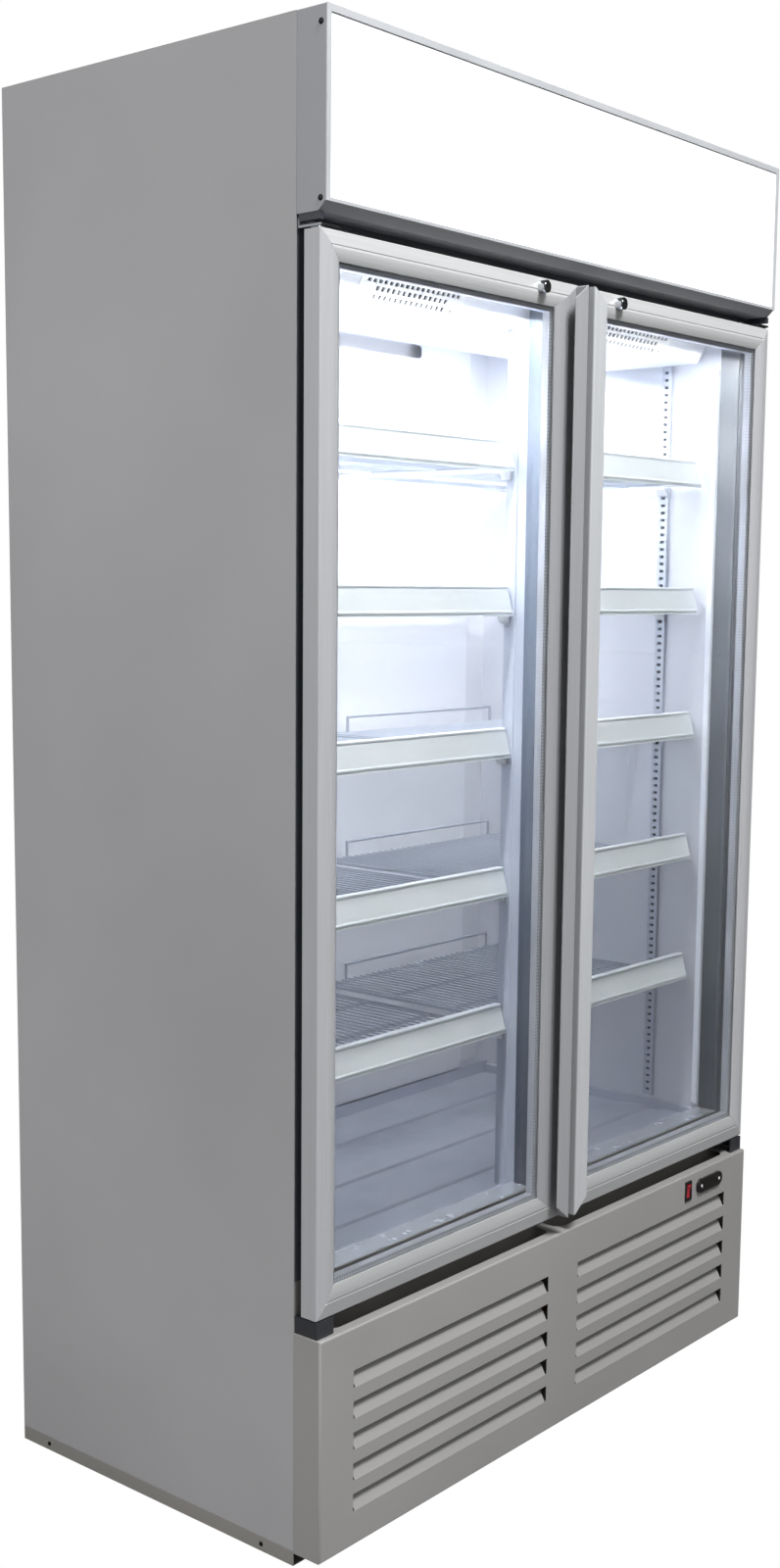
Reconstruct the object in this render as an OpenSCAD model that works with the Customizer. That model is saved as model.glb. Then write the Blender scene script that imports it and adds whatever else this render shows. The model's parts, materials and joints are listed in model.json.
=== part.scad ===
// Glass door cooler: an upright display cooler with two hinged glass doors,
// a lit canopy above them and a louvred machine compartment below.
// The origin is at the floor, under the middle of the whole object.
// +X is to the right, +Y to the back and +Z up.

/* [Cabinet] */
// Overall width of the cabinet
cab_w = 1120; // [1000:10:1300]
// Depth from the canopy's face to the back sheet
cab_d = 618; // [590:2:700]
// Overall height
cab_h = 2010; // [1900:10:2150]
// Depth of the canopy and the grille ahead of the cabinet face
nose_d = 48; // [44:1:60]
// Thickness of the outer steel sheet
sheet = 1; // [0.7:0.1:1.5]
// Thickness of the foamed side wall, both sheets included
side_wall = 32; // [28:1:40]
// Thickness of the foamed back wall, both sheets included
back_wall = 38; // [34:1:50]
// Thickness of the foam under the floor
floor_foam = 40; // [30:1:50]
// Thickness of the foam over the ceiling
roof_foam = 50; // [35:1:60]
// Height of the plinth that the cabinet stands on
plinth_h = 21; // [18:1:40]
// Width of the channels that make the plinth
rail_w = 40; // [30:1:60]

/* [Front opening] */
// Height of the sill above the foot of the doors
sill_up = 43; // [40:1:50]
// Drop of the lintel below the top of the doors
lintel_down = 29; // [26:1:34]
// Rise of the ceiling above the lintel
ceil_up = 28; // [20:1:40]
// Depth of the dark reveal round the opening
reveal_d = 35; // [30:1:45]
// Depth of the sill from front to back
sill_d = 40; // [37:1:48]
// Step from the sill down to the floor
sill_step = 13; // [8:1:20]
// Width of the mullion between the doors
mullion_w = 57; // [54:1:62]
// Wall of the mullion's box section
mullion_wall = 2; // [1.5:0.5:3]
// Width of the post behind the mullion
post_w = 40; // [36:1:42]
// Depth of the post behind the mullion
post_d = 43; // [41:1:46]

/* [Doors] */
// Gap from a door's outer edge to the cabinet's side
door_inset = 1; // [0.5:0.5:3]
// Gap between the two doors
meet_gap = 12; // [8:1:16]
// Gap between the doors and the canopy
door_gap_top = 19; // [17:1:26]
// Gap between the doors and the grille panel
door_gap_low = 26; // [24:1:34]
// Thickness of a door without its gasket
door_t = 28; // [26:1:32]
// Width of the stile on the hinge side
hinge_stile_w = 36; // [34:0.5:42]
// Width of the stile that carries the handle
handle_stile_w = 53.5; // [50:0.5:60]
// Height of the top rail
top_rail_w = 36.5; // [34:0.5:42]
// Height of the bottom rail
low_rail_w = 41; // [36:0.5:46]
// Wall of the door extrusions
profile_wall = 2; // [1.5:0.1:2.5]
// Radius of the extrusions' outer edge
edge_r = 2; // [1:0.5:3]
// Height of the crest on the face of the extrusions
crest_h = 2; // [1:0.5:3]
// Fall of the face from the crest to the glass
face_fall = 4.3; // [3:0.1:5]
// Place of the crest across the extrusion
crest_at = 0.5; // [0.4:0.01:0.6]
// Depth of the pocket that holds the glass
pocket_d = 12; // [10:1:14]
// Gap between the glass and the bottom of its pocket
glass_edge_gap = 2; // [1:0.5:4]
// Thickness of each glass pane
pane_t = 4; // [3:0.5:5]
// Gap between the two panes
pane_gap = 12; // [9:0.5:13]
// Width of the spacer bar that shows beside the frame
spacer_show = 7; // [5:0.5:9]
// Width of the spacer bar hidden in the pocket
spacer_hide = 3; // [2:0.5:5]
// Reach of the grip lip ahead of the door face
grip_out = 21.5; // [18:0.5:26]
// Width of the grip lip
grip_w = 32; // [28:1:36]
// Thickness of the grip lip and its web
grip_t = 3; // [2.5:0.5:4]
// Offset of the grip's web from the stile's edge
grip_in = 2; // [1:0.5:4]

/* [Gasket] */
// Thickness of the gasket between door and cabinet
gasket_t = 12; // [10:0.5:14]
// Width of the gasket
gasket_w = 15; // [12:1:16]
// Inset of the gasket from the door's outer edges
gasket_in = 14; // [12:1:15]
// Inset of the gasket from the doors' meeting edges
gasket_meet = 6; // [5:1:8]
// Running gap between the gasket and the cabinet
gasket_gap = 0.2; // [0.1:0.1:0.5]

/* [Hinges and locks] */
// Distance of the hinge axis from the door's outer edge
hinge_in = 12; // [10:0.5:14]
// Distance of the hinge axis behind the door face
hinge_back = 12; // [10:0.5:15]
// Radius of the hinge pins
pin_r = 4; // [3:0.5:5]
// Running clearance between a hinge pin and its bore
pin_clear = 0.05; // [0.02:0.01:0.1]
// Length of a hinge pin beyond its bracket
pin_len = 12.5; // [10:0.5:14]
// Thickness of the hinge brackets
bracket_t = 3; // [2:0.5:4]
// Width of the hinge brackets
bracket_w = 34; // [30:1:45]
// Height of the hinge bracket's flange
flange_h = 12; // [10:1:14]
// Length of the plates on the doors
plate_l = 86; // [60:1:120]
// Width of the plates on the doors
plate_w = 20; // [16:1:22]
// Thickness of the plates on the doors
plate_t = 2; // [1.5:0.5:3]
// Gap between a door plate and its bracket
thrust_gap = 0.3; // [0.2:0.1:0.5]
// Distance of the locks from the middle of the cabinet
lock_x = 98.7; // [80:0.1:140]
// Distance of the locks below the top of the doors
lock_down = 14; // [13:0.5:16]
// Radius of the lock's housing
lock_r = 9; // [8:0.5:10]
// Radius of the turning plug
plug_r = 6; // [5:0.5:6.5]
// Length that the lock stands ahead of the door face
lock_out = 12; // [8:0.5:16]

/* [Shelves] */
// Number of shelves in each bay
shelf_n = 5; // [3:1:5]
// Height of the lowest shelf above the floor pan
shelf_low = 257; // [200:1:280]
// Slots of the uprights from one shelf to the next
slots_per_shelf = 17; // [15:1:17]
// Pitch of the slots in the uprights
slot_pitch = 12.6; // [12:0.1:12.6]
// Gap between the shelves and the duct on the back wall
shelf_back = 36; // [30:1:60]
// Distance of the shelf front behind the canopy's face
shelf_front = 122; // [118:1:130]
// Gap from a shelf to the middle of the cabinet
shelf_mid_gap = 23; // [22:0.5:26]
// Gap from a shelf to the side wall
shelf_side_gap = 13; // [12:0.5:18]
// Pitch of the shelf wires
wire_pitch = 16; // [14:0.5:24]
// Radius of the shelf wires
wire_r = 1.6; // [1.2:0.1:2]
// Side of the square bars under the wires
bar = 5; // [4:0.5:6]
// Number of square bars under the wires
bar_n = 4; // [3:1:6]
// Radius of the raised rail wires
rail_r = 2.4; // [1.8:0.1:2.4]
// Height of the rear rail above the wires
rail_up = 25; // [18:1:35]
// Height of the price strip
strip_h = 45; // [38:1:48]
// Drop of the price strip below the wires
strip_drop = 11; // [8:1:14]
// Lean of the price strip's face, from its top to its foot
strip_lean = 10; // [6:1:14]
// Wall of the price strip
strip_t = 2; // [1.5:0.5:3]

/* [Uprights] */
// Width of a slotted upright
upright_w = 18; // [16:1:24]
// Depth of a slotted upright off its wall
upright_d = 8; // [6:1:10]
// Distance of the front uprights behind the canopy's face
upright_front = 176; // [160:1:220]
// Distance of the rear uprights ahead of the duct
upright_rear = 72; // [60:1:100]
// Width of a slot
slot_w = 8; // [6:1:10]
// Height of a slot
slot_h = 5; // [4:0.5:6]
// Gap between an upright and the ceiling or the floor
upright_gap = 20; // [12:1:30]

/* [Canopy] */
// Height of the canopy
canopy_h = 240; // [200:5:280]
// Height of the slope under the canopy's face
slope_h = 11; // [8:1:18]
// Depth of the slope under the canopy's face
slope_d = 12; // [8:1:18]
// Width of the trim round the lit face
trim_w = 8.5; // [6:0.5:12]
// Thickness of the trim round the lit face
trim_t = 1.5; // [1:0.5:2]
// Thickness of the lit face
lit_t = 3; // [2:0.5:4]

/* [Grille panel] */
// Height of the grille panel's foot above the floor
grille_foot = 18.5; // [12:0.5:20]
// Height of the grille panel
grille_h = 310.5; // [300:0.5:340]
// Number of louvres in each block
louvre_n = 5; // [3:1:5]
// Pitch of the louvres
louvre_pitch = 44.1; // [36:0.1:46]
// Height of a louvre's slot
louvre_h = 24.8; // [20:0.1:28]
// Distance of a louvre from the panel's side
louvre_out = 67.5; // [60:0.5:90]
// Distance of a louvre from the middle of the panel
louvre_in = 39.5; // [35:0.5:50]
// Distance of the first louvre below the panel's top
louvre_down = 60; // [58:1:64]
// Lean of a louvre's blade into the cabinet
louvre_lean = 11.5; // [8:0.5:14]
// Gap above a louvre's blade
louvre_gap = 4.5; // [3:0.5:6]
// Gap at each end of a louvre's blade
louvre_end = 3.5; // [2:0.5:6]
// Width of the lip along the panel's top edge
top_lip = 17; // [10:1:20]
// Radius of the folds of the panel
grille_fold = 3; // [2:0.5:4]

/* [Controls] */
// Distance of the rocker switch from the panel's side
rocker_in = 191.5; // [180:0.5:220]
// Distance of the thermostat from the panel's side
thermo_in = 124; // [110:1:130]
// Distance of both controls below the panel's top
control_down = 28; // [26:1:30]
// Width of the switch bezel
bezel_w = 19.5; // [18:0.5:21]
// Height of the switch bezel
bezel_h = 34; // [32:0.5:36]
// Tilt of the rocker to each side of its middle
rocker_tilt = 8; // [6:0.5:9]
// Length of the thermostat's front
thermo_l = 82; // [76:1:90]
// Height of the thermostat's front
thermo_h = 24; // [22:1:26]
// Radius of a thermostat key
key_r = 6; // [5:0.5:7]
// Travel of a thermostat key
key_travel = 1; // [0.5:0.1:1.2]

/* [Cooling] */
// Radius of the compressor's shell
comp_r = 86; // [75:1:92]
// Height of the compressor's shell
comp_h = 150; // [130:1:180]
// Radius of the condenser fan
cond_fan_r = 92; // [80:1:96]
// Radius of the evaporator fan
evap_fan_r = 66; // [50:1:70]
// Depth of the evaporator cover
cover_d = 240; // [230:1:280]
// Drop of the evaporator cover below the ceiling
cover_h = 55; // [50:1:60]
// Width of an air outlet in the evaporator cover
outlet_w = 218; // [180:2:240]
// Columns of holes in an air outlet
outlet_cols = 18; // [10:1:18]
// Depth of the duct on the back wall
duct_d = 24; // [20:1:30]
// Half the width of the duct on the back wall
duct_half = 445; // [400:5:450]

/* [Hidden] */

// A hair past a face, so that a cut goes right through it
hair = 0.1;
// Gap that keeps neighbouring pieces clear of each other
clear = 0.3;
// Gap between neighbouring sheets of one lining or frame
lap = 0.2;
half = cab_w / 2;
in_x = half - side_wall;
// The grips stand ahead of the canopy, so the depth runs from them to the back
grip_front = nose_d - gasket_t - door_t - grip_out;
total_d = cab_d - grip_front;
front_y = total_d / 2 - cab_d;

// Heights
canopy_z = cab_h - canopy_h;
door_top = canopy_z - door_gap_top;
grille_top = grille_foot + grille_h;
door_foot = grille_top + door_gap_low;
sill_z = door_foot + sill_up;
lintel_z = door_top - lintel_down;
floor_z = sill_z - sill_step;
pan_t = 5;
foam_top_z = floor_z - pan_t;
foam_low_z = foam_top_z - floor_foam;
ceil_z = lintel_z + ceil_up;
roof_z = ceil_z + sheet + roof_foam;
control_z = grille_top - control_down;
rocker_x = half - rocker_in;
thermo_x = half - thermo_in;
base_t = 1.5;

// Depths behind the canopy's face
face_y = nose_d;
frame_t = 2;
reveal_y = face_y + reveal_d;
sill_y = face_y + sill_d;
back_in = cab_d - back_wall;
duct_y = back_in - duct_d;
door_back = face_y - gasket_t;
door_face = door_back - door_t;
hinge_y = door_face + hinge_back;

// Widths
door_out = half - door_inset;
door_in = meet_gap / 2;
hinge_x = door_out - hinge_in;

// The doors' glass pocket
glass_y = door_back - profile_wall - 1 - pane_gap - 2 * pane_t;
glass_gap = 0.2;
pocket_front = glass_y - glass_gap;
pocket_back = glass_y + 2 * pane_t + pane_gap + glass_gap;
glass_x0 = door_in + handle_stile_w;
glass_x1 = door_out - hinge_stile_w;
glass_z0 = door_foot + low_rail_w;
glass_z1 = door_top - top_rail_w;
glass_hold = pocket_d - glass_edge_gap;

// Shelves
shelf_x0 = shelf_mid_gap;
shelf_x1 = in_x - shelf_side_gap;
shelf_w = shelf_x1 - shelf_x0;
shelf_d = duct_y - shelf_back - shelf_front;
shelf_mid = (shelf_x0 + shelf_x1) / 2;
shelf_step = slots_per_shelf * slot_pitch;
strip_up = strip_h - strip_drop;
front_rail_z = strip_up - strip_t - clear - rail_r;
strip_gap = 4;
function shelf_z(i) = floor_z + shelf_low + i * shelf_step;

// Draws a box between two corners
module block(a, b) {
    translate([a[0], a[1], a[2]]) cube([b[0] - a[0], b[1] - a[1], b[2] - a[2]]);
}

// Carries what is drawn behind the canopy's face to its place about the origin
module seat() {
    translate([0, front_y, 0]) children();
}

// Repeats what is drawn on the right on the left too
module both_sides() {
    children();
    mirror([1, 0, 0]) children();
}

// A rectangle with true round corners
module round_rect(w, h, r) {
    translate([r, 0]) square([w - 2 * r, h]);
    translate([0, r]) square([w, h - 2 * r]);
    for (x = [r, w - r], y = [r, h - r]) translate([x, y]) circle(r = r, $fn = 32);
}

// A bar with fully round ends, about the origin
module stadium(l, h) {
    translate([(h - l) / 2, -h / 2]) square([l - h, h]);
    for (s = [-1, 1]) translate([s * (l - h) / 2, 0]) circle(r = h / 2, $fn = 48);
}

// A cylinder along Y
module rod_y(p, r, l, fn = 48) {
    translate(p) rotate([-90, 0, 0]) cylinder(r = r, h = l, $fn = fn);
}

// A cylinder along X
module rod_x(p, r, l) {
    translate(p) rotate([0, 90, 0]) cylinder(r = r, h = l, $fn = 48);
}

// Sheet panels

module side_panels() {
    color("#8c8b8f") seat() both_sides()
        block([half - sheet, face_y, plinth_h], [half, cab_d, cab_h]);
}

vent_n = 8;
vent_l = 340;
vent_h = 9;
gland_in = 130;
gland_x = gland_in - half;
gland_r = 10;

module back_panel() {
    vent_pitch = (foam_low_z - plinth_h - 60) / vent_n;
    color("#a9a9ac") seat() difference() {
        block([sheet - half, cab_d - sheet, plinth_h], [half - sheet, cab_d, cab_h]);
        for (i = [0 : vent_n - 1], s = [-1, 1])
            translate([s * half / 2.4 - vent_l / 2, cab_d + hair, plinth_h + 60 + i * vent_pitch])
                rotate([90, 0, 0]) linear_extrude(sheet + 2 * hair) round_rect(vent_l, vent_h, 4);
        rod_y([gland_x, cab_d - sheet - hair, plinth_h + 30], gland_r, sheet + 2 * hair);
    }
}

module cable_gland() {
    color("#1c1c1e") seat() translate([gland_x, cab_d, plinth_h + 30]) rotate([90, 0, 0]) rotate_extrude($fn = 48)
        polygon([[5, 0], [gland_r - 0.2, 0], [gland_r - 0.2, sheet + 0.1], [gland_r + 4, sheet + 0.1],
            [gland_r + 4, sheet + 4], [8, sheet + 12], [5, sheet + 12]]);
}

module top_panel() {
    color("#8c8b8f") seat()
        block([sheet - half, face_y, cab_h - sheet], [half - sheet, cab_d - sheet, cab_h]);
}

// One C-shaped plinth channel along Y, its open side towards the middle
module plinth_channel() {
    rotate([90, 0, 0]) mirror([0, 0, 1]) linear_extrude(cab_d - face_y)
        polygon([[half, 0], [half, plinth_h], [half - rail_w, plinth_h], [half - rail_w, plinth_h - base_t],
            [half - base_t, plinth_h - base_t], [half - base_t, base_t], [half - rail_w, base_t], [half - rail_w, 0]]);
}

module base_frame() {
    inner = half - rail_w + base_t;
    color("#8d8a86") seat() union() {
        both_sides() translate([0, face_y, 0]) plinth_channel();
        block([-inner, face_y, plinth_h - base_t], [inner, cab_d, plinth_h]);
        block([-inner, face_y + rail_w - base_t, 0], [inner, face_y + rail_w, plinth_h]);
        block([-inner, cab_d - rail_w, 0], [inner, cab_d - rail_w + base_t, plinth_h]);
    }
}

// Foam slabs between the outer sheets and the liner
module insulation() {
    foam_x = in_x + sheet;
    foam_front = face_y + frame_t;
    x = foam_x - lap;
    color("#e3d9a8") seat() {
        both_sides() block([foam_x, foam_front, foam_low_z], [half - sheet, cab_d - sheet, roof_z]);
        block([-x, foam_front, ceil_z + sheet], [x, cab_d - sheet, roof_z]);
        block([-x, foam_front, foam_low_z], [x, cab_d - sheet, foam_top_z]);
        block([-x, back_in + sheet, foam_top_z + lap], [x, cab_d - sheet, ceil_z + sheet - lap]);
        block([lap - in_x, foam_front, foam_top_z + lap], [in_x - lap, sill_y - 2, sill_z - 8]);
        block([-x, foam_front, lintel_z + sheet], [x, reveal_y, ceil_z + sheet - lap]);
    }
}

// The sheets that line the cold space: two walls, the back, the ceiling and the drop behind the lintel
module inner_liner() {
    x = in_x - lap;
    color("#c9cdd8") seat() {
        both_sides() block([in_x, reveal_y + lap, floor_z], [in_x + sheet, back_in + sheet, ceil_z + sheet]);
        block([-x, back_in, floor_z], [x, back_in + sheet, ceil_z - lap]);
        block([-x, reveal_y + sheet + lap, ceil_z], [x, back_in + sheet, ceil_z + sheet]);
        block([-x, reveal_y + lap, lintel_z], [x, reveal_y + sheet, ceil_z + sheet]);
    }
}

// The floor is pressed with shallow ridges that run from side to side, each from one depth behind the sill to another
ridge_h = 4;
ridge_slope = 3;
ridges = [[89, 144], [212, 266], [354, 385]];
floor_lead = 62;
rear_step = 18;
rear_step_d = 28;

module floor_pan() {
    rim_w = 12;
    rear_step_y = back_in - rear_step_d;
    lead_y = sill_y + floor_lead;
    low = floor_z - ridge_h;
    outline = concat([[sill_y, foam_top_z], [sill_y, floor_z], [lead_y, floor_z], [lead_y + ridge_slope, low]],
        [for (r = ridges, p = [[r[0], low], [r[0] + ridge_slope, floor_z], [r[1] - ridge_slope, floor_z],
            [r[1], low]]) [sill_y + p[0], p[1]]],
        [[rear_step_y, low], [rear_step_y + ridge_slope, floor_z + rear_step - ridge_slope],
            [back_in, floor_z + rear_step], [back_in, foam_top_z]]);
    color("#a9aebf") seat() union() {
        translate([-in_x, 0, 0]) rotate([90, 0, 90]) linear_extrude(2 * in_x) polygon(outline);
        both_sides() block([in_x - rim_w, sill_y, low], [in_x, rear_step_y, sill_z - 2]);
    }
}

module threshold() {
    nose = 3;
    color("#c3c7cf") seat() translate([-in_x, 0, 0]) rotate([90, 0, 90]) linear_extrude(2 * in_x)
        polygon([[face_y + frame_t, sill_z - 8], [face_y + frame_t, sill_z - nose], [face_y + frame_t + nose, sill_z],
            [sill_y, sill_z], [sill_y, foam_top_z], [sill_y - 2, foam_top_z], [sill_y - 2, sill_z - 8]]);
}

// The duct on the back wall, with its long air slot near the top
module rear_duct() {
    slot_l = 2 * duct_half - 280;
    duct_top = ceil_z - clear;
    duct_low = floor_z + rear_step + clear;
    color("#d3d7e0") seat() difference() {
        block([-duct_half, duct_y, duct_low], [duct_half, back_in, duct_top]);
        block([sheet - duct_half, duct_y + sheet, duct_low + sheet], [duct_half - sheet, back_in + hair, duct_top - sheet]);
        translate([-slot_l / 2, duct_y + sheet + hair, duct_top - 34]) rotate([90, 0, 0])
            linear_extrude(sheet + 2 * hair) round_rect(slot_l, 22, 8);
    }
}

// The dark frame round the opening, in four pieces with returns into the cold space
frame_foot = grille_top - 40;

module front_frame() {
    x = in_x - lap;
    color("#3a3e46") seat() {
        both_sides() {
            block([in_x, face_y, frame_foot], [half - sheet, face_y + frame_t, cab_h - sheet]);
            block([in_x, face_y, sill_z], [in_x + sheet, reveal_y, lintel_z + sheet]);
        }
        block([-x, face_y, lintel_z], [x, face_y + frame_t, cab_h - sheet]);
        block([-x, face_y, lintel_z], [x, reveal_y, lintel_z + sheet]);
        block([-x, face_y, frame_foot], [x, face_y + frame_t, sill_z]);
    }
}

module mullion() {
    w = mullion_w / 2;
    t = mullion_wall;
    color("#454d5c") seat() translate([0, 0, sill_z]) linear_extrude(lintel_z - sill_z) difference() {
        translate([-w, face_y]) round_rect(mullion_w, reveal_d - 1, 1.5);
        translate([t - w, face_y + t]) square([mullion_w - 2 * t, reveal_d - 1 - 2 * t]);
    }
}

cover_z = ceil_z - cover_h;
post_y = face_y + reveal_d - 1;
post_back = post_y + post_d;

module centre_post() {
    w = post_w / 2;
    color("#aab0bf") seat() union() {
        translate([0, 0, sill_z]) linear_extrude(cover_z - clear - sill_z) difference() {
            translate([-w, post_y]) square([post_w, post_d]);
            translate([2 - w, post_y + 2]) square([post_w - 4, post_d - 4]);
            for (s = [-1, 1]) translate([s * w, post_y + post_d / 2]) circle(r = 1.5, $fn = 24);
        }
        block([-w, sill_y + clear, floor_z], [w, post_back, sill_z]);
    }
}

// Shelves and what carries them

upright_z0 = sill_z + 6;
slot_n = floor((ceil_z - upright_gap - upright_z0 - 10) / slot_pitch);

// One slotted upright, its back at y = 0 and its face towards -y
module upright() {
    length = slot_n * slot_pitch + 10;
    rotate([90, 0, 0]) linear_extrude(upright_d) difference() {
        translate([-upright_w / 2, 0]) square([upright_w, length]);
        for (i = [0 : slot_n - 1])
            translate([-slot_w / 2, 8 + i * slot_pitch]) square([slot_w, slot_h]);
    }
}

rear_up_y = duct_y - upright_rear - upright_w / 2;
front_up_y = upright_front + upright_w / 2;

module slotted_uprights() {
    color("#b4bac6") seat() {
        both_sides() for (y = [front_up_y, rear_up_y])
            translate([in_x, y, upright_z0]) rotate(-90) upright();
        translate([0, duct_y, upright_z0 + 16]) rotate(0) upright();
    }
}

// One clip under a shelf's side bar, drawn at the wall x = 0 and reaching to -x
module clip(reach) {
    l = 16;
    rotate([90, 0, 0]) translate([0, 0, -l / 2]) linear_extrude(l)
        polygon([[0, 0], [-reach, 0], [-reach, -3], [-3, -14], [0, -14]]);
}

bar_z = -2 * wire_r + 0.5 - bar;

module shelf_clips() {
    z_off = bar_z - clear;
    side_reach = shelf_side_gap - upright_d + bar + 2;
    post_reach = shelf_mid_gap - post_w / 2 + bar + 2;
    color("#eceef0") seat() for (i = [0 : shelf_n - 1]) translate([0, 0, shelf_z(i) + z_off]) {
        both_sides() {
            for (y = [front_up_y, rear_up_y]) translate([in_x - upright_d, y, 0]) clip(side_reach);
            translate([post_w / 2, post_back - 2, 0]) mirror([1, 0, 0]) clip(post_reach);
        }
        rear_bracket(post_w / 2 + post_reach);
    }
}

// The bracket that reaches from the middle upright of the back wall under both shelves
module rear_bracket(reach) {
    y0 = shelf_front + shelf_d - 12;
    y1 = duct_y - upright_d;
    union() {
        block([-reach, y0, -3], [reach, y1, 0]);
        block([-1.5, y0 + 10, -22], [1.5, y1, -3]);
    }
}

// A raised rail: a wire along X with a round elbow and a leg at each end
module raised_rail(y, top, inset) {
    x0 = shelf_x0 + inset;
    l = shelf_w - 2 * inset;
    rod_x([x0, y, top], rail_r, l);
    for (x = [x0, x0 + l]) {
        translate([x, y, top]) sphere(r = rail_r, $fn = 32);
        translate([x, y, bar_z + 1]) cylinder(r = rail_r, h = top - bar_z - 1, $fn = 32);
    }
}

// One wire shelf of the right bay, its wires' tops at z = 0
module shelf() {
    wire_n = floor((shelf_w - 4 * wire_r) / wire_pitch);
    edge = (shelf_w - wire_n * wire_pitch) / 2;
    y0 = shelf_front;
    y1 = shelf_front + shelf_d;
    bar_step = (shelf_d - bar) / (bar_n - 1);
    union() {
        for (i = [0 : wire_n]) rod_y([shelf_x0 + edge + i * wire_pitch, y0, -wire_r], wire_r, shelf_d, 24);
        for (i = [0 : bar_n - 1])
            block([shelf_x0, y0 + i * bar_step, bar_z], [shelf_x1, y0 + i * bar_step + bar, bar_z + bar]);
        for (x = [shelf_x0, shelf_x1 - bar]) block([x, y0, bar_z], [x + bar, y1, bar_z + bar]);
        raised_rail(y0 + bar / 2, front_rail_z, edge + wire_pitch / 2);
        raised_rail(y1 - bar / 2, rail_up, edge + 2.5 * wire_pitch);
    }
}

module shelves() {
    for (i = [0 : shelf_n - 1]) translate([0, 0, shelf_z(i)]) shelf();
}

module left_shelves() {
    color("#eef0f2") seat() mirror([1, 0, 0]) shelves();
}

module right_shelves() {
    color("#eef0f2") seat() shelves();
}

// The price strip hooks over the front rail: a lip, a groove, a leaning face and a ridged foot
module strip_profile() {
    y = shelf_front - strip_gap;
    top = strip_up;
    foot = -strip_drop;
    ridge = foot + 9;
    low_y = y - strip_lean;
    polygon([[y + strip_gap + 2 * rail_r, top], [y - 1, top], [y - 2, top - 1], [y - 2, top - 3],
        [y, top - 3], [y, top - 5], [y - 2, top - 5],
        [low_y, ridge], [low_y - 2, ridge - 2], [low_y - 2, ridge - 4], [low_y, ridge - 4], [low_y, ridge - 6],
        [low_y - 2, ridge - 7], [low_y - 2, foot], [low_y + 1, foot],
        [low_y + strip_t + 0.5, ridge], [y + 1, top - 6], [y + 1, top - strip_t],
        [y + strip_gap + 2 * rail_r, top - strip_t]]);
}

module price_strips() {
    color("#f2f4f5") seat() both_sides() for (i = [0 : shelf_n - 1])
        translate([shelf_x0, 0, shelf_z(i)]) rotate([90, 0, 90]) linear_extrude(shelf_w) strip_profile();
}

// Evaporator at the ceiling

cover_half = in_x - 30;
cover_front = reveal_y + 8;
cover_lean = 22;
cover_slope_h = 35;
fan_y = cover_front + cover_lean + evap_fan_r + 14;
cover_t = 1.2;

// The cover is a sloped tray that hangs from the ceiling, open at the outlets and at the back, where it draws its air
module evaporator_cover() {
    y0 = cover_front;
    y1 = y0 + cover_d;
    z0 = cover_z;
    knee = z0 + cover_slope_h;
    outer = [[y0, ceil_z], [y0, knee], [y0 + cover_lean, z0], [y1, z0], [y1, ceil_z]];
    inner = [[y0 + cover_t, ceil_z + hair], [y0 + cover_t, knee + 0.4], [y0 + cover_lean + 0.6, z0 + cover_t],
        [y1 + hair, z0 + cover_t], [y1 + hair, ceil_z + hair]];
    color("#d5d9e2") seat() difference() {
        union() {
            translate([-cover_half, 0, 0]) rotate([90, 0, 90]) linear_extrude(2 * cover_half) polygon(outer);
            both_sides() on_slope() outlet_pad();
        }
        translate([cover_t - cover_half, 0, 0]) rotate([90, 0, 90])
            linear_extrude(2 * (cover_half - cover_t)) polygon(inner);
        both_sides() on_slope() outlet_holes();
    }
}

outlet_side = 114;
outlet_x = cover_half - outlet_side - outlet_w / 2;
outlet_rows = 3;
outlet_hole = 7.5;
outlet_row_pitch = 11.5;
outlet_edge = 8;
pad_t = 0.8;
pad_edge = 2;
slope_angle = atan2(cover_lean, cover_slope_h);
slope_face = cover_slope_h / cos(slope_angle);

// Lays a drawing on the cover's slope: x along the cover, y down the slope, -z out of it
module on_slope() {
    translate([outlet_x - outlet_w / 2, cover_front, cover_z + cover_slope_h]) rotate([slope_angle - 90, 0, 0])
        children();
}

// A raised pad round each outlet
module outlet_pad() {
    translate([0, pad_edge, -pad_t]) cube([outlet_w, slope_face - 2 * pad_edge, pad_t + cover_t / 2]);
}

// The square holes of one outlet, through the pad and the sheet; the lower rows stop short, where the screws are
module outlet_holes() {
    col_pitch = (outlet_w - 2 * outlet_edge) / outlet_cols;
    for (j = [0 : outlet_rows - 1]) {
        short = j > 0 ? 2 : 0;
        for (i = [short : outlet_cols - 1 - short])
            translate([outlet_edge + (i + 0.5) * col_pitch - outlet_hole / 2,
                (slope_face - outlet_hole) / 2 + (j - 1) * outlet_row_pitch, -pad_t - hair])
                cube([outlet_hole, outlet_hole, pad_t + 2 * cover_t + hair]);
    }
}

// Fins on tubes
module finned_coil(size, fins, fin_t, rows, cols, tube_r) {
    step = (size[0] - fin_t) / (fins - 1);
    union() {
        for (i = [0 : fins - 1]) translate([i * step, 0, 0]) cube([fin_t, size[1], size[2]]);
        for (r = [0 : rows - 1], c = [0 : cols - 1])
            rod_x([-10, size[1] * (c + 0.5) / cols, size[2] * (r + 0.5) / rows], tube_r, size[0] + 20);
    }
}

module evaporator_coil() {
    depth = 60;
    y = cover_front + cover_d - cover_t - depth - 8;
    feet = 6;
    foot_w = 40;
    color("#c7cbd1") seat() union() {
        translate([-cover_half + 40, y, cover_z + cover_t + feet])
            finned_coil([2 * cover_half - 80, depth, cover_h - cover_t - feet - 6], 30, 1, 1, 2, 5);
        for (s = [-1, 1]) translate([s * (cover_half - 70) - foot_w / 2, y, cover_z + cover_t]) cube([foot_w, depth, feet + 2]);
    }
}

// Fans and motors

fan_shaft_r = 3;
fan_bore_r = 3.05;

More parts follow.
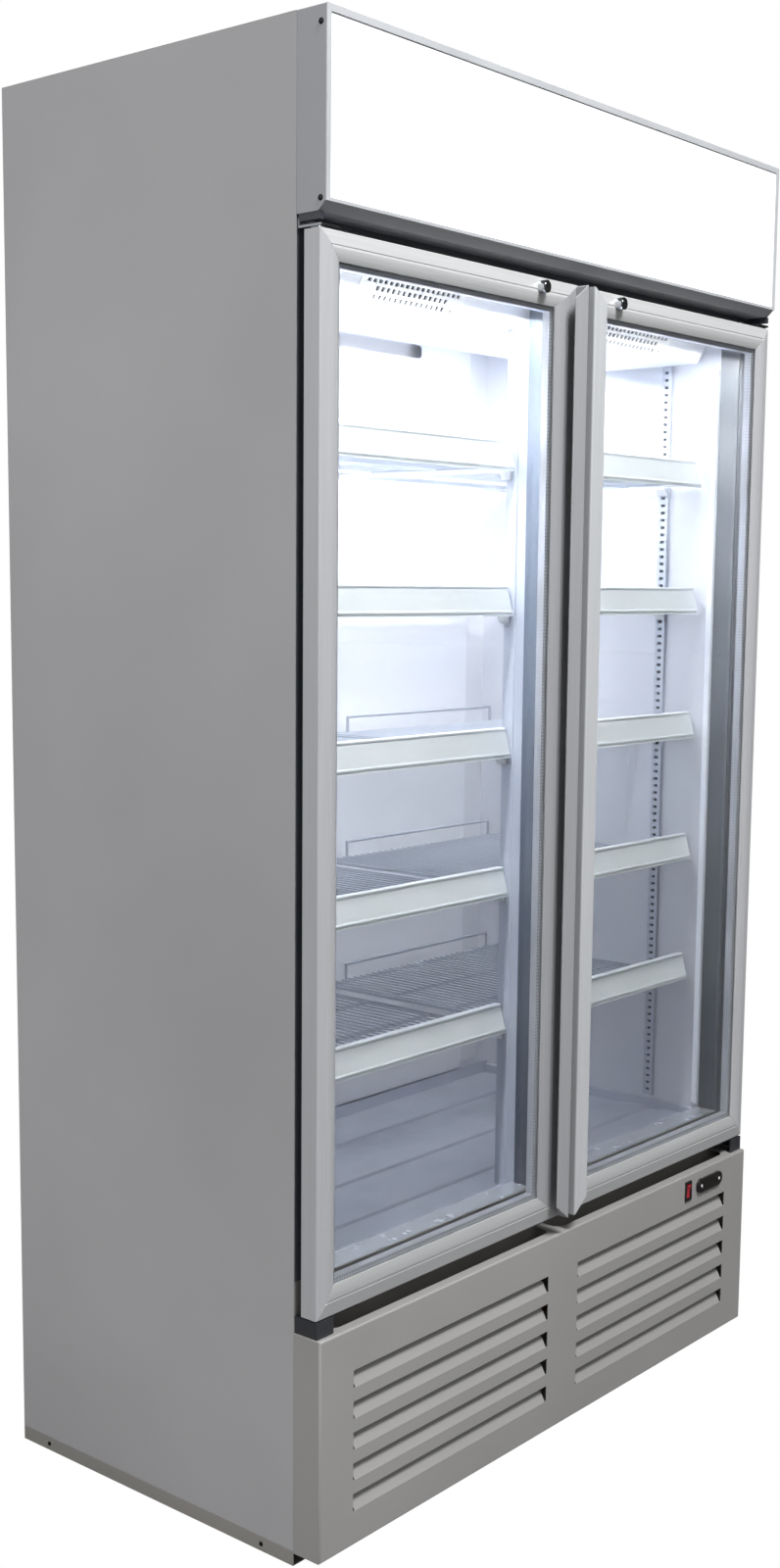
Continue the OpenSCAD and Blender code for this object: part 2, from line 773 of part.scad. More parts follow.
// A fan with its axis along Z, its hub from z = 0 to hub_h
module fan(r, hub_r, hub_h, blades, pitch) {
    difference() {
        union() {
            cylinder(r = hub_r, h = hub_h, $fn = 48);
            for (i = [0 : blades - 1]) rotate(i * 360 / blades) intersection() {
                translate([0, 0, hub_h / 2]) rotate([pitch, 0, 0]) translate([hub_r - 3, 0, -0.8])
                    linear_extrude(1.6) polygon([[0, -hub_r / 2], [r * 0.4, -r * 0.3], [r, -r * 0.26],
                        [r, r * 0.28], [r * 0.4, r * 0.26], [0, hub_r / 2]]);
                cylinder(r = r, h = hub_h, $fn = 96);
            }
        }
        translate([0, 0, -hair]) cylinder(r = fan_bore_r, h = hub_h + 2 * hair, $fn = 32);
    }
}

evap_motor_h = 28;
evap_motor_r = 26;
evap_hub_h = 16;
evap_fan_z = ceil_z - evap_motor_h - 1.5 - evap_hub_h;

cond_in = 360;
cond_x = half - cond_in;
cond_z = 165;
shroud_y = 100;
shroud_d = 40;
ring_l = 34;
ring_t = 2;
ring_r = cond_fan_r + 6;
cond_hub_h = 24;
cond_motor_y = shroud_y + shroud_d + ring_l;
cond_fan_y = cond_motor_y - cond_hub_h - 2;
arm_t = 3;

module evaporator_fan() {
    color("#2b2d31") seat() translate([0, fan_y, evap_fan_z]) fan(evap_fan_r, 15, evap_hub_h, 5, 22);
}

module condenser_fan() {
    color("#2b2d31") seat() translate([cond_x, cond_fan_y, cond_z]) rotate([-90, 0, 0])
        fan(cond_fan_r, 20, cond_hub_h, 5, 24);
}

module fan_motors() {
    color("#5b5e64") seat() {
        translate([0, fan_y, ceil_z - evap_motor_h]) cylinder(r = evap_motor_r, h = evap_motor_h, $fn = 48);
        translate([0, fan_y, evap_fan_z + 1]) cylinder(r = fan_shaft_r, h = evap_hub_h + 0.5, $fn = 32);
        translate([cond_x, cond_motor_y, cond_z]) rotate([-90, 0, 0]) union() {
            cylinder(r = 32, h = 48, $fn = 48);
            for (a = [90, 210, 330]) rotate(a) translate([20, -7, 0]) cube([ring_r - 19, 14, arm_t]);
            translate([0, 0, -cond_hub_h]) cylinder(r = fan_shaft_r, h = cond_hub_h + 1, $fn = 32);
        }
    }
}

// The shroud draws air through the condenser: a box, a plate and a round ring
module fan_shroud() {
    w = 2 * ring_r + 30;
    color("#303236") seat() difference() {
        union() {
            translate([cond_x - w / 2, shroud_y, cond_z - w / 2]) cube([w, shroud_d, w]);
            rod_y([cond_x, shroud_y + shroud_d - 1, cond_z], ring_r + ring_t, ring_l + 1);
        }
        translate([cond_x - w / 2 + 2, shroud_y - hair, cond_z - w / 2 + 2]) cube([w - 4, shroud_d - 2 + hair, w - 4]);
        rod_y([cond_x, shroud_y, cond_z], ring_r, shroud_d + ring_l + hair);
    }
}

module condenser() {
    w = 2 * ring_r + 30;
    fins_d = 44;
    pad = 12;
    color("#8f9398") seat() union() {
        translate([cond_x - w / 2 + 12, shroud_y - fins_d, cond_z - w / 2 + pad])
            finned_coil([w - 24, fins_d, w - 2 * pad], 22, 1, 5, 1, 4.5);
        for (s = [-1, 1]) block([cond_x + s * (w / 2 - 2) - 2, shroud_y - fins_d, plinth_h],
            [cond_x + s * (w / 2 - 2) + 2, shroud_y, cond_z + w / 2]);
    }
}

comp_in = 290;
comp_back = 248;
comp_x = comp_in - half;
comp_y = cab_d - comp_back;
comp_foot = 18;

module compressor() {
    r = comp_r;
    h = comp_h;
    foot_r = 14;
    spread = 90;
    color("#1d1e20") seat() translate([comp_x, comp_y, plinth_h]) union() {
        translate([0, 0, comp_foot + 4]) rotate_extrude($fn = 96)
            polygon(concat([[0, 0], [r - 24, 0]], [for (a = [-80 : 20 : 0]) [r - 24 + 24 * cos(a), 24 + 24 * sin(a)]],
                [[r, h * 0.45], [r + 3, h * 0.45], [r + 3, h * 0.5], [r, h * 0.5]],
                [for (a = [0 : 15 : 90]) [(r - 8) * cos(a) + 8 * cos(a) * cos(a), h * 0.55 + h * 0.45 * sin(a)]]));
        translate([-spread - 20, -12, comp_foot]) cube([2 * spread + 40, 24, 6]);
        translate([-12, -spread - 20, comp_foot]) cube([24, 2 * spread + 40, 6]);
        for (p = [[spread, 0], [-spread, 0], [0, spread], [0, -spread]])
            translate([p[0], p[1], 0]) cylinder(r = foot_r, h = comp_foot + 1, $fn = 32);
        translate([r - 12, -28, h * 0.35]) cube([34, 56, 60]);
    }
}

tray_w = 370;
tray_l = 170;
tray_h = 45;
tray_wall = 2.5;
tray_in = 130;
tray_back = 28;

module evaporation_tray() {
    x1 = half - tray_in;
    y1 = cab_d - tray_back;
    t = tray_wall;
    color("#2f3135") seat() difference() {
        block([x1 - tray_w, y1 - tray_l, plinth_h], [x1, y1, plinth_h + tray_h]);
        block([x1 - tray_w + t, y1 - tray_l + t, plinth_h + t], [x1 - t, y1 - t, plinth_h + tray_h + 1]);
    }
}

pipe_r = 4;
pipe_back = 20;

// A pipe through a list of points, with a round elbow at each
module pipe(points) {
    for (i = [0 : len(points) - 2]) {
        a = points[i];
        b = points[i + 1];
        d = b - a;
        l = norm(d);
        translate(a) rotate([0, acos(d[2] / l), atan2(d[1], d[0])]) cylinder(r = pipe_r, h = l, $fn = 24);
    }
    for (i = [1 : len(points) - 2]) translate(points[i]) sphere(r = pipe_r, $fn = 24);
}

module pipework() {
    comp_top = plinth_h + comp_foot + 4 + comp_h;
    w = ring_r + 15;
    rear_y = back_in - pipe_back;
    color("#b0703f") seat() {
        pipe([[comp_x, comp_y, comp_top], [comp_x, comp_y, comp_top + 30], [20, comp_y, comp_top + 30],
            [20, shroud_y - 22, comp_top + 30], [20, shroud_y - 22, cond_z], [cond_x - w - 0.3, shroud_y - 22, cond_z]]);
        pipe([[comp_x + 30, comp_y, comp_top - 3.4], [comp_x + 30, comp_y, foam_low_z - 15],
            [comp_x + 30, rear_y, foam_low_z - 15], [comp_x + 30, rear_y, foam_low_z]]);
    }
}

module led_strips() {
    color("#fdfdf6") seat() both_sides() {
        block([in_x - 6, reveal_y + 1, sill_z + 8], [in_x, reveal_y + 11, cover_z - 10]);
        block([60, face_y - 8, canopy_z + canopy_h / 2 - 9], [half - 40, face_y, canopy_z + canopy_h / 2 + 9]);
    }
}

// Canopy

canopy_t = 1.2;

module canopy_shell() {
    z0 = canopy_z;
    z1 = canopy_z + slope_h;
    top = cab_h;
    t = canopy_t;
    outline = [[0, top], [face_y, top], [face_y, top - t], [t, top - t], [t, top - t - trim_w], [0, top - t - trim_w]];
    low = [[0, z1 + trim_w / 2], [0, z1], [slope_d, z0], [face_y, z0], [face_y, z0 + t], [slope_d + 0.5, z0 + t],
        [t, z1 + 0.7], [t, z1 + trim_w / 2]];
    cheek = [[0, top], [face_y, top], [face_y, z0], [slope_d, z0], [0, z1]];
    color("#8c8b8f") seat() union() {
        for (p = [outline, low])
            translate([t - half, 0, 0]) rotate([90, 0, 90]) linear_extrude(cab_w - 2 * t) polygon(p);
        for (x = [-half, half - t]) translate([x, 0, 0]) rotate([90, 0, 90]) linear_extrude(t) polygon(cheek);
    }
}

trim_z0 = canopy_z + slope_h;
trim_x = half - canopy_t;

module canopy_trim() {
    h = cab_h - trim_z0;
    color("#d9dadb") seat() translate([-half, 0, trim_z0]) rotate([90, 0, 0]) linear_extrude(trim_t) difference() {
        square([cab_w, h]);
        translate([trim_w, trim_w / 2]) square([cab_w - 2 * trim_w, h - 1.5 * trim_w]);
    }
}

module light_panel() {
    color("#ffffff") seat()
        block([-trim_x, canopy_t, trim_z0 + trim_w / 2 - 2], [trim_x, canopy_t + lit_t, cab_h - canopy_t]);
}

// A round screw head on a face that looks along +X or -X
module head_x(p, s, r) {
    translate(p) rotate([0, 90 * s, 0]) rotate_extrude($fn = 32)
        polygon([[0, 0], [r, 0], [r, 0.6], [r * 0.75, 1.6], [r * 0.3, 2], [0, 2]]);
}

module screws() {
    side_ys = [face_y + 60, cab_d - 60];
    color("#17181a") seat() for (s = [-1, 1]) {
        for (z = [canopy_z + 15, cab_h - 20]) head_x([s * half, 8, z], s, 3.8);
        for (y = side_ys) head_x([s * half, y, plinth_h / 2], s, 3.2);
    }
}

// Grille panel

grille_t = 1.2;
foot_return = 15;
louvre_l = half - louvre_in - louvre_out;

// One louvre blade: a leaf with round upper corners, leaning into the cabinet from the foot of its slot
module blade() {
    rise = louvre_h - louvre_gap;
    lean = atan2(louvre_lean, rise);
    l = norm([louvre_lean, rise]);
    r = 10;
    x0 = louvre_end;
    x1 = louvre_l - louvre_end;
    rotate([90 - lean, 0, 0]) mirror([0, 0, 1]) linear_extrude(grille_t) union() {
        translate([x0, 0]) square([x1 - x0, l - r]);
        translate([x0 + r, 0]) square([x1 - x0 - 2 * r, l]);
        for (x = [x0 + r, x1 - r]) translate([x, l - r]) circle(r = r, $fn = 32);
    }
}

// A block set in from the panel's outer faces, its front edges round all the way
module panel_block(inset, back) {
    r = grille_fold - inset;
    w = cab_w - 2 * inset;
    h = grille_h - 2 * inset;
    intersection() {
        translate([inset - half, inset, grille_foot + inset]) linear_extrude(h) round_rect(w, back - inset + r, r);
        translate([inset - half, inset, grille_foot + inset]) rotate([90, 0, 90]) linear_extrude(w)
            round_rect(back - inset + r, h, r);
        block([-half, 0, grille_foot], [half, back, grille_top]);
    }
}
louvre_top = grille_top - louvre_down;
thermo_cut_w = 66;
thermo_cut_h = 19;
switch_cut_w = bezel_w - 4;
switch_cut_h = bezel_h - 4;

module grille_panel() {
    t = grille_t;
    web = 11;
    cut_x1 = half - 42;
    cut_r = 18;
    color("#8f9090") seat() union() {
        difference() {
            panel_block(0, face_y);
            panel_block(t, face_y + hair);
            block([t - half, foot_return, grille_foot - hair], [half - t, face_y + hair, grille_foot + 2 * t]);
            translate([0, 0, grille_top - 2 * t]) linear_extrude(2 * t + hair)
                for (x = [web, -cut_x1]) translate([x, top_lip]) round_rect(cut_x1 - web, face_y, cut_r);
            for (i = [0 : louvre_n - 1], x = [louvre_in, -louvre_in - louvre_l])
                block([x, -hair, louvre_top - louvre_h - i * louvre_pitch],
                    [x + louvre_l, t + hair, louvre_top - i * louvre_pitch]);
            block([thermo_x - thermo_cut_w / 2, -hair, control_z - thermo_cut_h / 2],
                [thermo_x + thermo_cut_w / 2, t + hair, control_z + thermo_cut_h / 2]);
            block([rocker_x - switch_cut_w / 2, -hair, control_z - switch_cut_h / 2],
                [rocker_x + switch_cut_w / 2, t + hair, control_z + switch_cut_h / 2]);
        }
        for (i = [0 : louvre_n - 1], x = [louvre_in, -louvre_in - louvre_l])
            translate([x, 0, louvre_top - louvre_h - i * louvre_pitch]) blade();
    }
}

// Controls

thermo_face = 4;
key_floor = 0.5;
key_gap = 0.3;
key_x = thermo_l / 2 - thermo_h / 2;
key_out = 0.8;
key_rest = 0.2;

module thermostat_housing() {
    back = 24;
    color("#241f1f") seat() translate([thermo_x, 0, control_z]) difference() {
        union() {
            rotate([90, 0, 0]) linear_extrude(thermo_face) stadium(thermo_l, thermo_h);
            translate([-thermo_cut_w / 2 + 0.4, -0.5, -thermo_cut_h / 2 + 0.4])
                cube([thermo_cut_w - 0.8, back, thermo_cut_h - 0.8]);
        }
        for (s = [-1, 1])
            rod_y([s * key_x, -thermo_face - hair, 0], key_r + key_gap, thermo_face - key_floor + hair);
        translate([-16, -thermo_face - hair, -5]) cube([32, 0.8 + hair, 10]);
    }
}

module thermostat_key(side) {
    l = thermo_face + key_out - key_floor - key_travel - key_rest;
    color("#cfd1d2") seat() rod_y([thermo_x + side * key_x, -thermo_face - key_out, control_z], key_r, l);
}

module thermostat_key_left() {
    thermostat_key(-1);
}

module thermostat_key_right() {
    thermostat_key(1);
}

rocker_y = 3;
rocker_w = 11.4;
rocker_l = 23;
rocker_pin_r = 1.5;
bezel_face = 2;
bezel_open_w = 12;
bezel_open_h = 25.6;
bezel_depth = 14;

module switch_bezel() {
    body_w = switch_cut_w - 0.6;
    body_h = switch_cut_h - 0.6;
    color("#141416") seat() translate([rocker_x, 0, control_z]) difference() {
        union() {
            translate([-bezel_w / 2, 0, -bezel_h / 2]) rotate([90, 0, 0]) linear_extrude(bezel_face) round_rect(bezel_w, bezel_h, 1.5);
            translate([-body_w / 2, -0.5, -body_h / 2]) cube([body_w, bezel_depth, body_h]);
        }
        translate([-bezel_open_w / 2, -bezel_face - hair, -bezel_open_h / 2])
            cube([bezel_open_w, bezel_face + 10, bezel_open_h]);
        rod_x([-body_w / 2 + 0.3, rocker_y, 0], rocker_pin_r + 0.05, body_w - 0.6);
    }
}

module rocker() {
    l = rocker_l / 2;
    pin_w = switch_cut_w - 1.4;
    color("#a02c30") seat() translate([rocker_x, rocker_y, control_z]) rotate([rocker_tilt, 0, 0]) union() {
        translate([-rocker_w / 2, 0, 0]) rotate([90, 0, 90]) linear_extrude(rocker_w)
            polygon([[-5, -l], [-3.8, -l * 0.4], [-3.5, 0], [-3.8, l * 0.4], [-5, l], [2, l - 1], [3, 8], [3, -8], [2, 1 - l]]);
        rod_x([-pin_w / 2, 0, 0], rocker_pin_r, pin_w);
    }
}

// Hinges

skirt_z = grille_top + 1;

// The bracket on the cabinet's face over or under a door; up is 1 above the doors and -1 below
module hinge_bracket(up) {
    plate_z = up > 0 ? door_top + plate_t + thrust_gap : door_foot - plate_t - thrust_gap;
    far = plate_z + up * bracket_t;
    x0 = door_out - bracket_w;
    pin_z = plate_z - up * pin_len;
    union() {
        block([x0, door_face, min(plate_z, far)], [door_out - 1, face_y, max(plate_z, far)]);
        block([x0, face_y - bracket_t, min(plate_z, plate_z + up * flange_h)],
            [door_out - 1, face_y, max(plate_z, plate_z + up * flange_h)]);
        if (up < 0) {
            block([x0, door_face, skirt_z], [door_out - 1, door_face + bracket_t, plate_z]);
            block([door_out - 1 - bracket_t, door_face, skirt_z], [door_out - 1, face_y, plate_z]);
        }
        translate([hinge_x, hinge_y, min(pin_z, far)])
            cylinder(r = pin_r, h = abs(far - pin_z), $fn = 48);
    }
}

module hinge_brackets() {
    color("#b9bdc2") seat() both_sides() {
        hinge_bracket(1);
        hinge_bracket(-1);
    }
}

// Doors: each piece is drawn for the right door, and the left one is its mirror

// The extrusion's face rises to a crest and falls in a curve to the glass
function face_point(w, t) = [w * crest_at + w * (1 - crest_at) * t, door_t + crest_h - face_fall * t * t];

// The outline of an extrusion: u runs in from the door's edge, v forward from its back
module extrusion(w) {
    n = 6;
    cut_v0 = door_back - pocket_back;
    cut_v1 = door_back - pocket_front;
    inner = w - pocket_d - profile_wall;
    wall = profile_wall;
    difference() {
        polygon(concat([[0, 0]], [for (a = [180 : -22.5 : 90]) [edge_r + edge_r * cos(a), door_t - edge_r + edge_r * sin(a)]],
            [[w * crest_at - 1, door_t + crest_h], [w * crest_at, door_t + crest_h - 0.6]],
            [for (i = [1 : n]) face_point(w, i / n)], [[w, 0]]));
        translate([w - pocket_d, cut_v0]) square([pocket_d + 1, cut_v1 - cut_v0]);
        translate([wall, wall]) square([inner - wall, door_t - 2 * wall - 0.5]);
    }
}

// The handle stile's outline, with the grip lip along its edge
module handle_extrusion() {
    v = door_t + grip_out - grip_t;
    u = grip_in + grip_t;
    tip = grip_in + grip_w - grip_t / 2;
    extrusion(handle_stile_w);
    polygon(concat([[grip_in, door_t - 1], [grip_in, v]],
        [for (a = [165 : -15 : 90]) [u + grip_t * cos(a), v + grip_t * sin(a)]],
        [for (a = [90 : -30 : -90]) [tip + grip_t / 2 * cos(a), v + grip_t / 2 + grip_t / 2 * sin(a)]],
        [[u, v], [u, door_t - 1]]));
}

// The point a quarter past a on the line from b to a, so that a cut runs clear of the member
function past(a, b) = a + (a - b) / 4;

// Cuts a member along the two mitres that join each door corner to the glass corner beside it
module mitre(corner_a, glass_a, corner_b, glass_b) {
    intersection() {
        children();
        translate([0, door_back + 1, 0]) rotate([90, 0, 0]) linear_extrude(door_t + grip_out + 2)
            polygon([past(corner_a, glass_a), past(glass_a, corner_a), past(glass_b, corner_b), past(corner_b, glass_b)]);
    }
}

door_h = door_top - door_foot;
door_w = door_out - door_in;
corner_out_top = [door_out, door_top];
corner_out_low = [door_out, door_foot];
corner_in_top = [door_in, door_top];
corner_in_low = [door_in, door_foot];
glass_out_top = [glass_x1, glass_z1];
glass_out_low = [glass_x1, glass_z0];
glass_in_top = [glass_x0, glass_z1];
glass_in_low = [glass_x0, glass_z0];

module hinge_stile() {
    mitre(corner_out_top, glass_out_top, corner_out_low, glass_out_low)
        translate([door_out, door_back, door_foot]) linear_extrude(door_h) rotate(180) extrusion(hinge_stile_w);
}

module handle_stile() {
    mitre(corner_in_top, glass_in_top, corner_in_low, glass_in_low)
        translate([door_in, door_back, door_foot]) linear_extrude(door_h) mirror([0, 1]) handle_extrusion();
}

// A cylinder that bores a rail for a hinge pin
module pin_bore(z) {
    translate([hinge_x, hinge_y, z - profile_wall - 1]) cylinder(r = pin_r + pin_clear, h = 2 * profile_wall + 2, $fn = 48);
}

lock_z = door_top - lock_down;
lock_gap = 0.2;
lock_back = door_back - 6;

module top_rail() {
    difference() {
        mitre(corner_out_top, glass_out_top, corner_in_top, glass_in_top)
            translate([door_in, door_back, door_top]) rotate([90, 0, 90]) linear_extrude(door_w)
                mirror([1, 0]) rotate(-90) extrusion(top_rail_w);
        pin_bore(door_top);
        rod_y([lock_x, door_face - 5, lock_z], lock_r + lock_gap, lock_back - door_face + 5 + lock_gap);
    }
}

module bottom_rail() {
    difference() {
        mitre(corner_out_low, glass_out_low, corner_in_low, glass_in_low)
            translate([door_in, door_back, door_foot]) rotate([90, 0, 90]) linear_extrude(door_w)
                rotate(90) extrusion(low_rail_w);
        pin_bore(door_foot);
    }
}

// A rectangular ring in the plane of the door, from y0 back to y1
module ring(x0, x1, z0, z1, w, y0, y1) {
    translate([0, y1, 0]) rotate([90, 0, 0]) linear_extrude(y1 - y0) difference() {
        translate([x0, z0]) square([x1 - x0, z1 - z0]);
        translate([x0 + w, z0 + w]) square([x1 - x0 - 2 * w, z1 - z0 - 2 * w]);
    }
}

module glass() {
    for (y = [glass_y, glass_y + pane_t + pane_gap])
        block([glass_x0 - glass_hold, y, glass_z0 - glass_hold], [glass_x1 + glass_hold, y + pane_t, glass_z1 + glass_hold]);
}

module glass_spacer() {
    ring(glass_x0 - spacer_hide, glass_x1 + spacer_hide, glass_z0 - spacer_hide, glass_z1 + spacer_hide,
        spacer_hide + spacer_show, glass_y + pane_t, glass_y + pane_t + pane_gap);
}

module gasket() {
    ring(door_in + gasket_meet, door_out - gasket_in, door_foot + gasket_in, door_top - gasket_in, gasket_w,
        door_back, face_y - gasket_gap);
}

module hinge_plates() {
    for (z = [door_top, door_foot - plate_t]) difference() {
        translate([door_out - 3 - plate_l, hinge_y - plate_w / 2, z]) linear_extrude(plate_t) round_rect(plate_l, plate_w, 4);
        translate([hinge_x, hinge_y, z - hair]) cylinder(r = pin_r + pin_clear, h = plate_t + 2 * hair, $fn = 48);
    }
}

plug_gap = 0.05;
plug_l = 20;

module lock_housing() {
    y0 = door_face - lock_out;
    difference() {
        rod_y([lock_x, y0, lock_z], lock_r, lock_back - y0);
        rod_y([lock_x, y0 - hair, lock_z], plug_r + plug_gap, plug_l + hair);
    }
}

module lock_plug() {
    y0 = door_face - lock_out;
    difference() {
        rod_y([lock_x, y0 - 0.5, lock_z], plug_r, plug_l);
        translate([lock_x - 0.8, y0 - 1, lock_z - 4]) cube([1.6, 6, 8]);
    }
}

module left() {
    seat() mirror([1, 0, 0]) children();
}

alu = "#b9bcc0";

module left_hinge_stile() { color(alu) left() hinge_stile(); }
module left_handle_stile() { color(alu) left() handle_stile(); }
module left_top_rail() { color(alu) left() top_rail(); }
module left_bottom_rail() { color(alu) left() bottom_rail(); }
module left_glass() { color("#dfe8ee", 0.35) left() glass(); }
module left_glass_spacer() { color("#e6e8ec") left() glass_spacer(); }
module left_gasket() { color("#26282d") left() gasket(); }
module left_hinge_plates() { color("#c9ccd0") left() hinge_plates(); }
module left_lock_housing() { color("#d5d7da") left() lock_housing(); }
module left_lock_plug() { color("#c2c4c8") left() lock_plug(); }
module right_hinge_stile() { color(alu) seat() hinge_stile(); }
module right_handle_stile() { color(alu) seat() handle_stile(); }
module right_top_rail() { color(alu) seat() top_rail(); }
module right_bottom_rail() { color(alu) seat() bottom_rail(); }
module right_glass() { color("#dfe8ee", 0.35) seat() glass(); }
module right_glass_spacer() { color("#e6e8ec") seat() glass_spacer(); }
module right_gasket() { color("#26282d") seat() gasket(); }
module right_hinge_plates() { color("#c9ccd0") seat() hinge_plates(); }
module right_lock_housing() { color("#d5d7da") seat() lock_housing(); }
module right_lock_plug() { color("#c2c4c8") seat() lock_plug(); }

side_panels();
back_panel();
top_panel();
base_frame();
insulation();
inner_liner();
floor_pan();
threshold();
rear_duct();
front_frame();
mullion();
centre_post();
slotted_uprights();
shelf_clips();
left_shelves();
right_shelves();
price_strips();
evaporator_cover();
evaporator_coil();
fan_motors();
led_strips();
canopy_shell();
canopy_trim();
light_panel();
screws();
grille_panel();
thermostat_housing();
switch_bezel();
hinge_brackets();
compressor();
condenser();
fan_shroud();
evaporation_tray();
pipework();
cable_gland();
evaporator_fan();
condenser_fan();
rocker();
thermostat_key_left();
thermostat_key_right();
left_hinge_stile();
left_handle_stile();
left_top_rail();
left_bottom_rail();
left_glass();
left_glass_spacer();
left_gasket();
left_hinge_plates();
left_lock_housing();
left_lock_plug();
right_hinge_stile();
right_handle_stile();
right_top_rail();
right_bottom_rail();
right_glass();
right_glass_spacer();
right_gasket();
right_hinge_plates();
right_lock_housing();
right_lock_plug();
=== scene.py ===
"""Finishes and fine detail of a two-door glass door cooler, laid out as a Blender add-on."""

import json
import math

import bmesh
import bpy
from mathutils import Matrix, Vector


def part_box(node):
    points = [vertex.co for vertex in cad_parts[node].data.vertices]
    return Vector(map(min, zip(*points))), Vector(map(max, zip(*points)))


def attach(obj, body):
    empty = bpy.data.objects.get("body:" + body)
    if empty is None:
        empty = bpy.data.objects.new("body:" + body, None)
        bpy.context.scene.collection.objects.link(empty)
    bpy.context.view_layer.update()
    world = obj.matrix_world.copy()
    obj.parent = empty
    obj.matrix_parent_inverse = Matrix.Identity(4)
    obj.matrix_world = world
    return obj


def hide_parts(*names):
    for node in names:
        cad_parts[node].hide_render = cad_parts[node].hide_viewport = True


bl_info = {
    "name": "Glass Door Cooler",
    "version": (1, 0, 0),
    "blender": (4, 5, 0),
    "location": "3D View > Sidebar > Cooler",
    "description": "Dresses the packed cooler with its finishes, fine fittings, lamps and camera",
    "category": "Object",
}

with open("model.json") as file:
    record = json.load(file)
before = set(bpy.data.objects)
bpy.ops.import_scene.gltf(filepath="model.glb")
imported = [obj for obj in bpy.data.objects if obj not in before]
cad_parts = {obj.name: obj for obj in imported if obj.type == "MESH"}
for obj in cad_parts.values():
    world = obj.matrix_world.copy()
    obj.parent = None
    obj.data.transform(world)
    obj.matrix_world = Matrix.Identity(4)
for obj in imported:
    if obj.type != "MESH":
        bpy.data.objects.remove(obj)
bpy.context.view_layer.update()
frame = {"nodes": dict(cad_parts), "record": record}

MM = 0.001
SIDES = ("left", "right")

# Grain scales: a noise of scale s has features about 1/s metres across
PEEL_PER_M = 1 / (2.2 * MM)
SAND_PER_M = 1 / (1.6 * MM)

# Scales that run a noise out into lines along X or along Z
ALONG_X = (0.01, 1.0, 1.0)
ALONG_Z = (1.0, 1.0, 0.01)

# Share of a colour that its darker drifts keep, on grey and on white skins
GREY_DRIFT = 0.895
WHITE_DRIFT = 0.93

# Noise scales of the drifts on broad sheets, on mouldings and on glowing faces
SHEET_DRIFT_SCALE = 1.7
MOULDING_DRIFT_SCALE = 9.0
GLOW_DRIFT_SCALE = 3.0


def linear(colour):
    """The linear colour, with alpha 1, of an sRGB hex value such as #8c8b8f or of a colour property."""
    if not isinstance(colour, str):
        return (*colour, 1.0)
    values = [int(colour[i:i + 2], 16) / 255 for i in (1, 3, 5)]
    return tuple(v / 12.92 if v <= 0.04045 else ((v + 0.055) / 1.055) ** 2.4 for v in values) + (1.0,)


def darker(colour, share):
    """A colour property's colour at a share of its brightness."""
    return tuple(share * value for value in colour)


def add_node(tree, kind, settings=None, links=None):
    """Adds one node, sets its properties and sockets, and links its inputs to other nodes' outputs."""
    node = tree.nodes.new(kind)
    for name, value in (settings or {}).items():
        if name in node.inputs:
            node.inputs[name].default_value = value
        else:
            setattr(node, name, value)
    for name, output in (links or {}).items():
        tree.links.new(output, node.inputs[name])
    return node


def new_material(name):
    """An empty node material with its tree, its output node and the place on the object."""
    material = bpy.data.materials.new(name)
    material.use_nodes = True
    tree = material.node_tree
    tree.nodes.clear()
    output = add_node(tree, "ShaderNodeOutputMaterial")
    place = add_node(tree, "ShaderNodeTexCoord").outputs["Object"]
    return material, tree, output, place


def finish_surface(tree, output, settings, links=None):
    """Puts a Principled surface with these settings on the output."""
    shader = add_node(tree, "ShaderNodeBsdfPrincipled", settings, links)
    tree.links.new(shader.outputs["BSDF"], output.inputs["Surface"])


def noise(tree, place, scale, detail=2.0):
    """A soft random value from 0 to 1 at a place."""
    grain = add_node(tree, "ShaderNodeTexNoise", {"Scale": scale, "Detail": detail}, {"Vector": place})
    return grain.outputs["Fac"]


def relief(tree, height, strength, depth):
    """The normal of a fine relief that follows a value."""
    settings = {"Strength": strength, "Distance": depth}
    bump = add_node(tree, "ShaderNodeBump", settings, {"Height": height})
    return bump.outputs["Normal"]


def blended(tree, value, first, start, second, end):
    """A colour that goes from the first to the second as a value goes from start to end."""
    ramp = add_node(tree, "ShaderNodeValToRGB", None, {"Fac": value})
    for i, (position, colour) in enumerate(((start, first), (end, second))):
        ramp.color_ramp.elements[i].position = position
        ramp.color_ramp.elements[i].color = linear(colour)
    return ramp.outputs["Color"]


def scaled(tree, value, start, end, low, high):
    """A value brought from the range start to end to the range low to high."""
    span = {"From Min": start, "From Max": end, "To Min": low, "To Max": high}
    return add_node(tree, "ShaderNodeMapRange", span, {"Value": value}).outputs["Result"]


def combine(tree, operation, first, second):
    """Joins two values by one step of arithmetic."""
    step = add_node(tree, "ShaderNodeMath", {"operation": operation})
    tree.links.new(first, step.inputs[0])
    tree.links.new(second, step.inputs[1])
    return step.outputs["Value"]


def seen_directly(tree, depth, near, far):
    """1 for rays from the camera and for those that pass glass and go on to the back.

    They show a plain white backdrop.
    """
    rays = add_node(tree, "ShaderNodeLightPath")
    behind = scaled(tree, depth, near, far, 0.0, 1.0)
    through = combine(tree, "MULTIPLY", rays.outputs["Is Transmission Ray"], behind)
    return combine(tree, "MAXIMUM", rays.outputs["Is Camera Ray"], through)


def thrown_back(tree):
    """1 for rays that a pane throws back, off its first face or from inside it."""
    rays = add_node(tree, "ShaderNodeLightPath")
    return combine(tree, "MAXIMUM", rays.outputs["Is Glossy Ray"], rays.outputs["Is Transmission Ray"])


def mottled(tree, place, colour, other, scale):
    """A slow drift between two close colours, as handling and light dust leave on a broad sheet."""
    return blended(tree, noise(tree, place, scale, 3.0), colour, 0.35, other, 0.65)


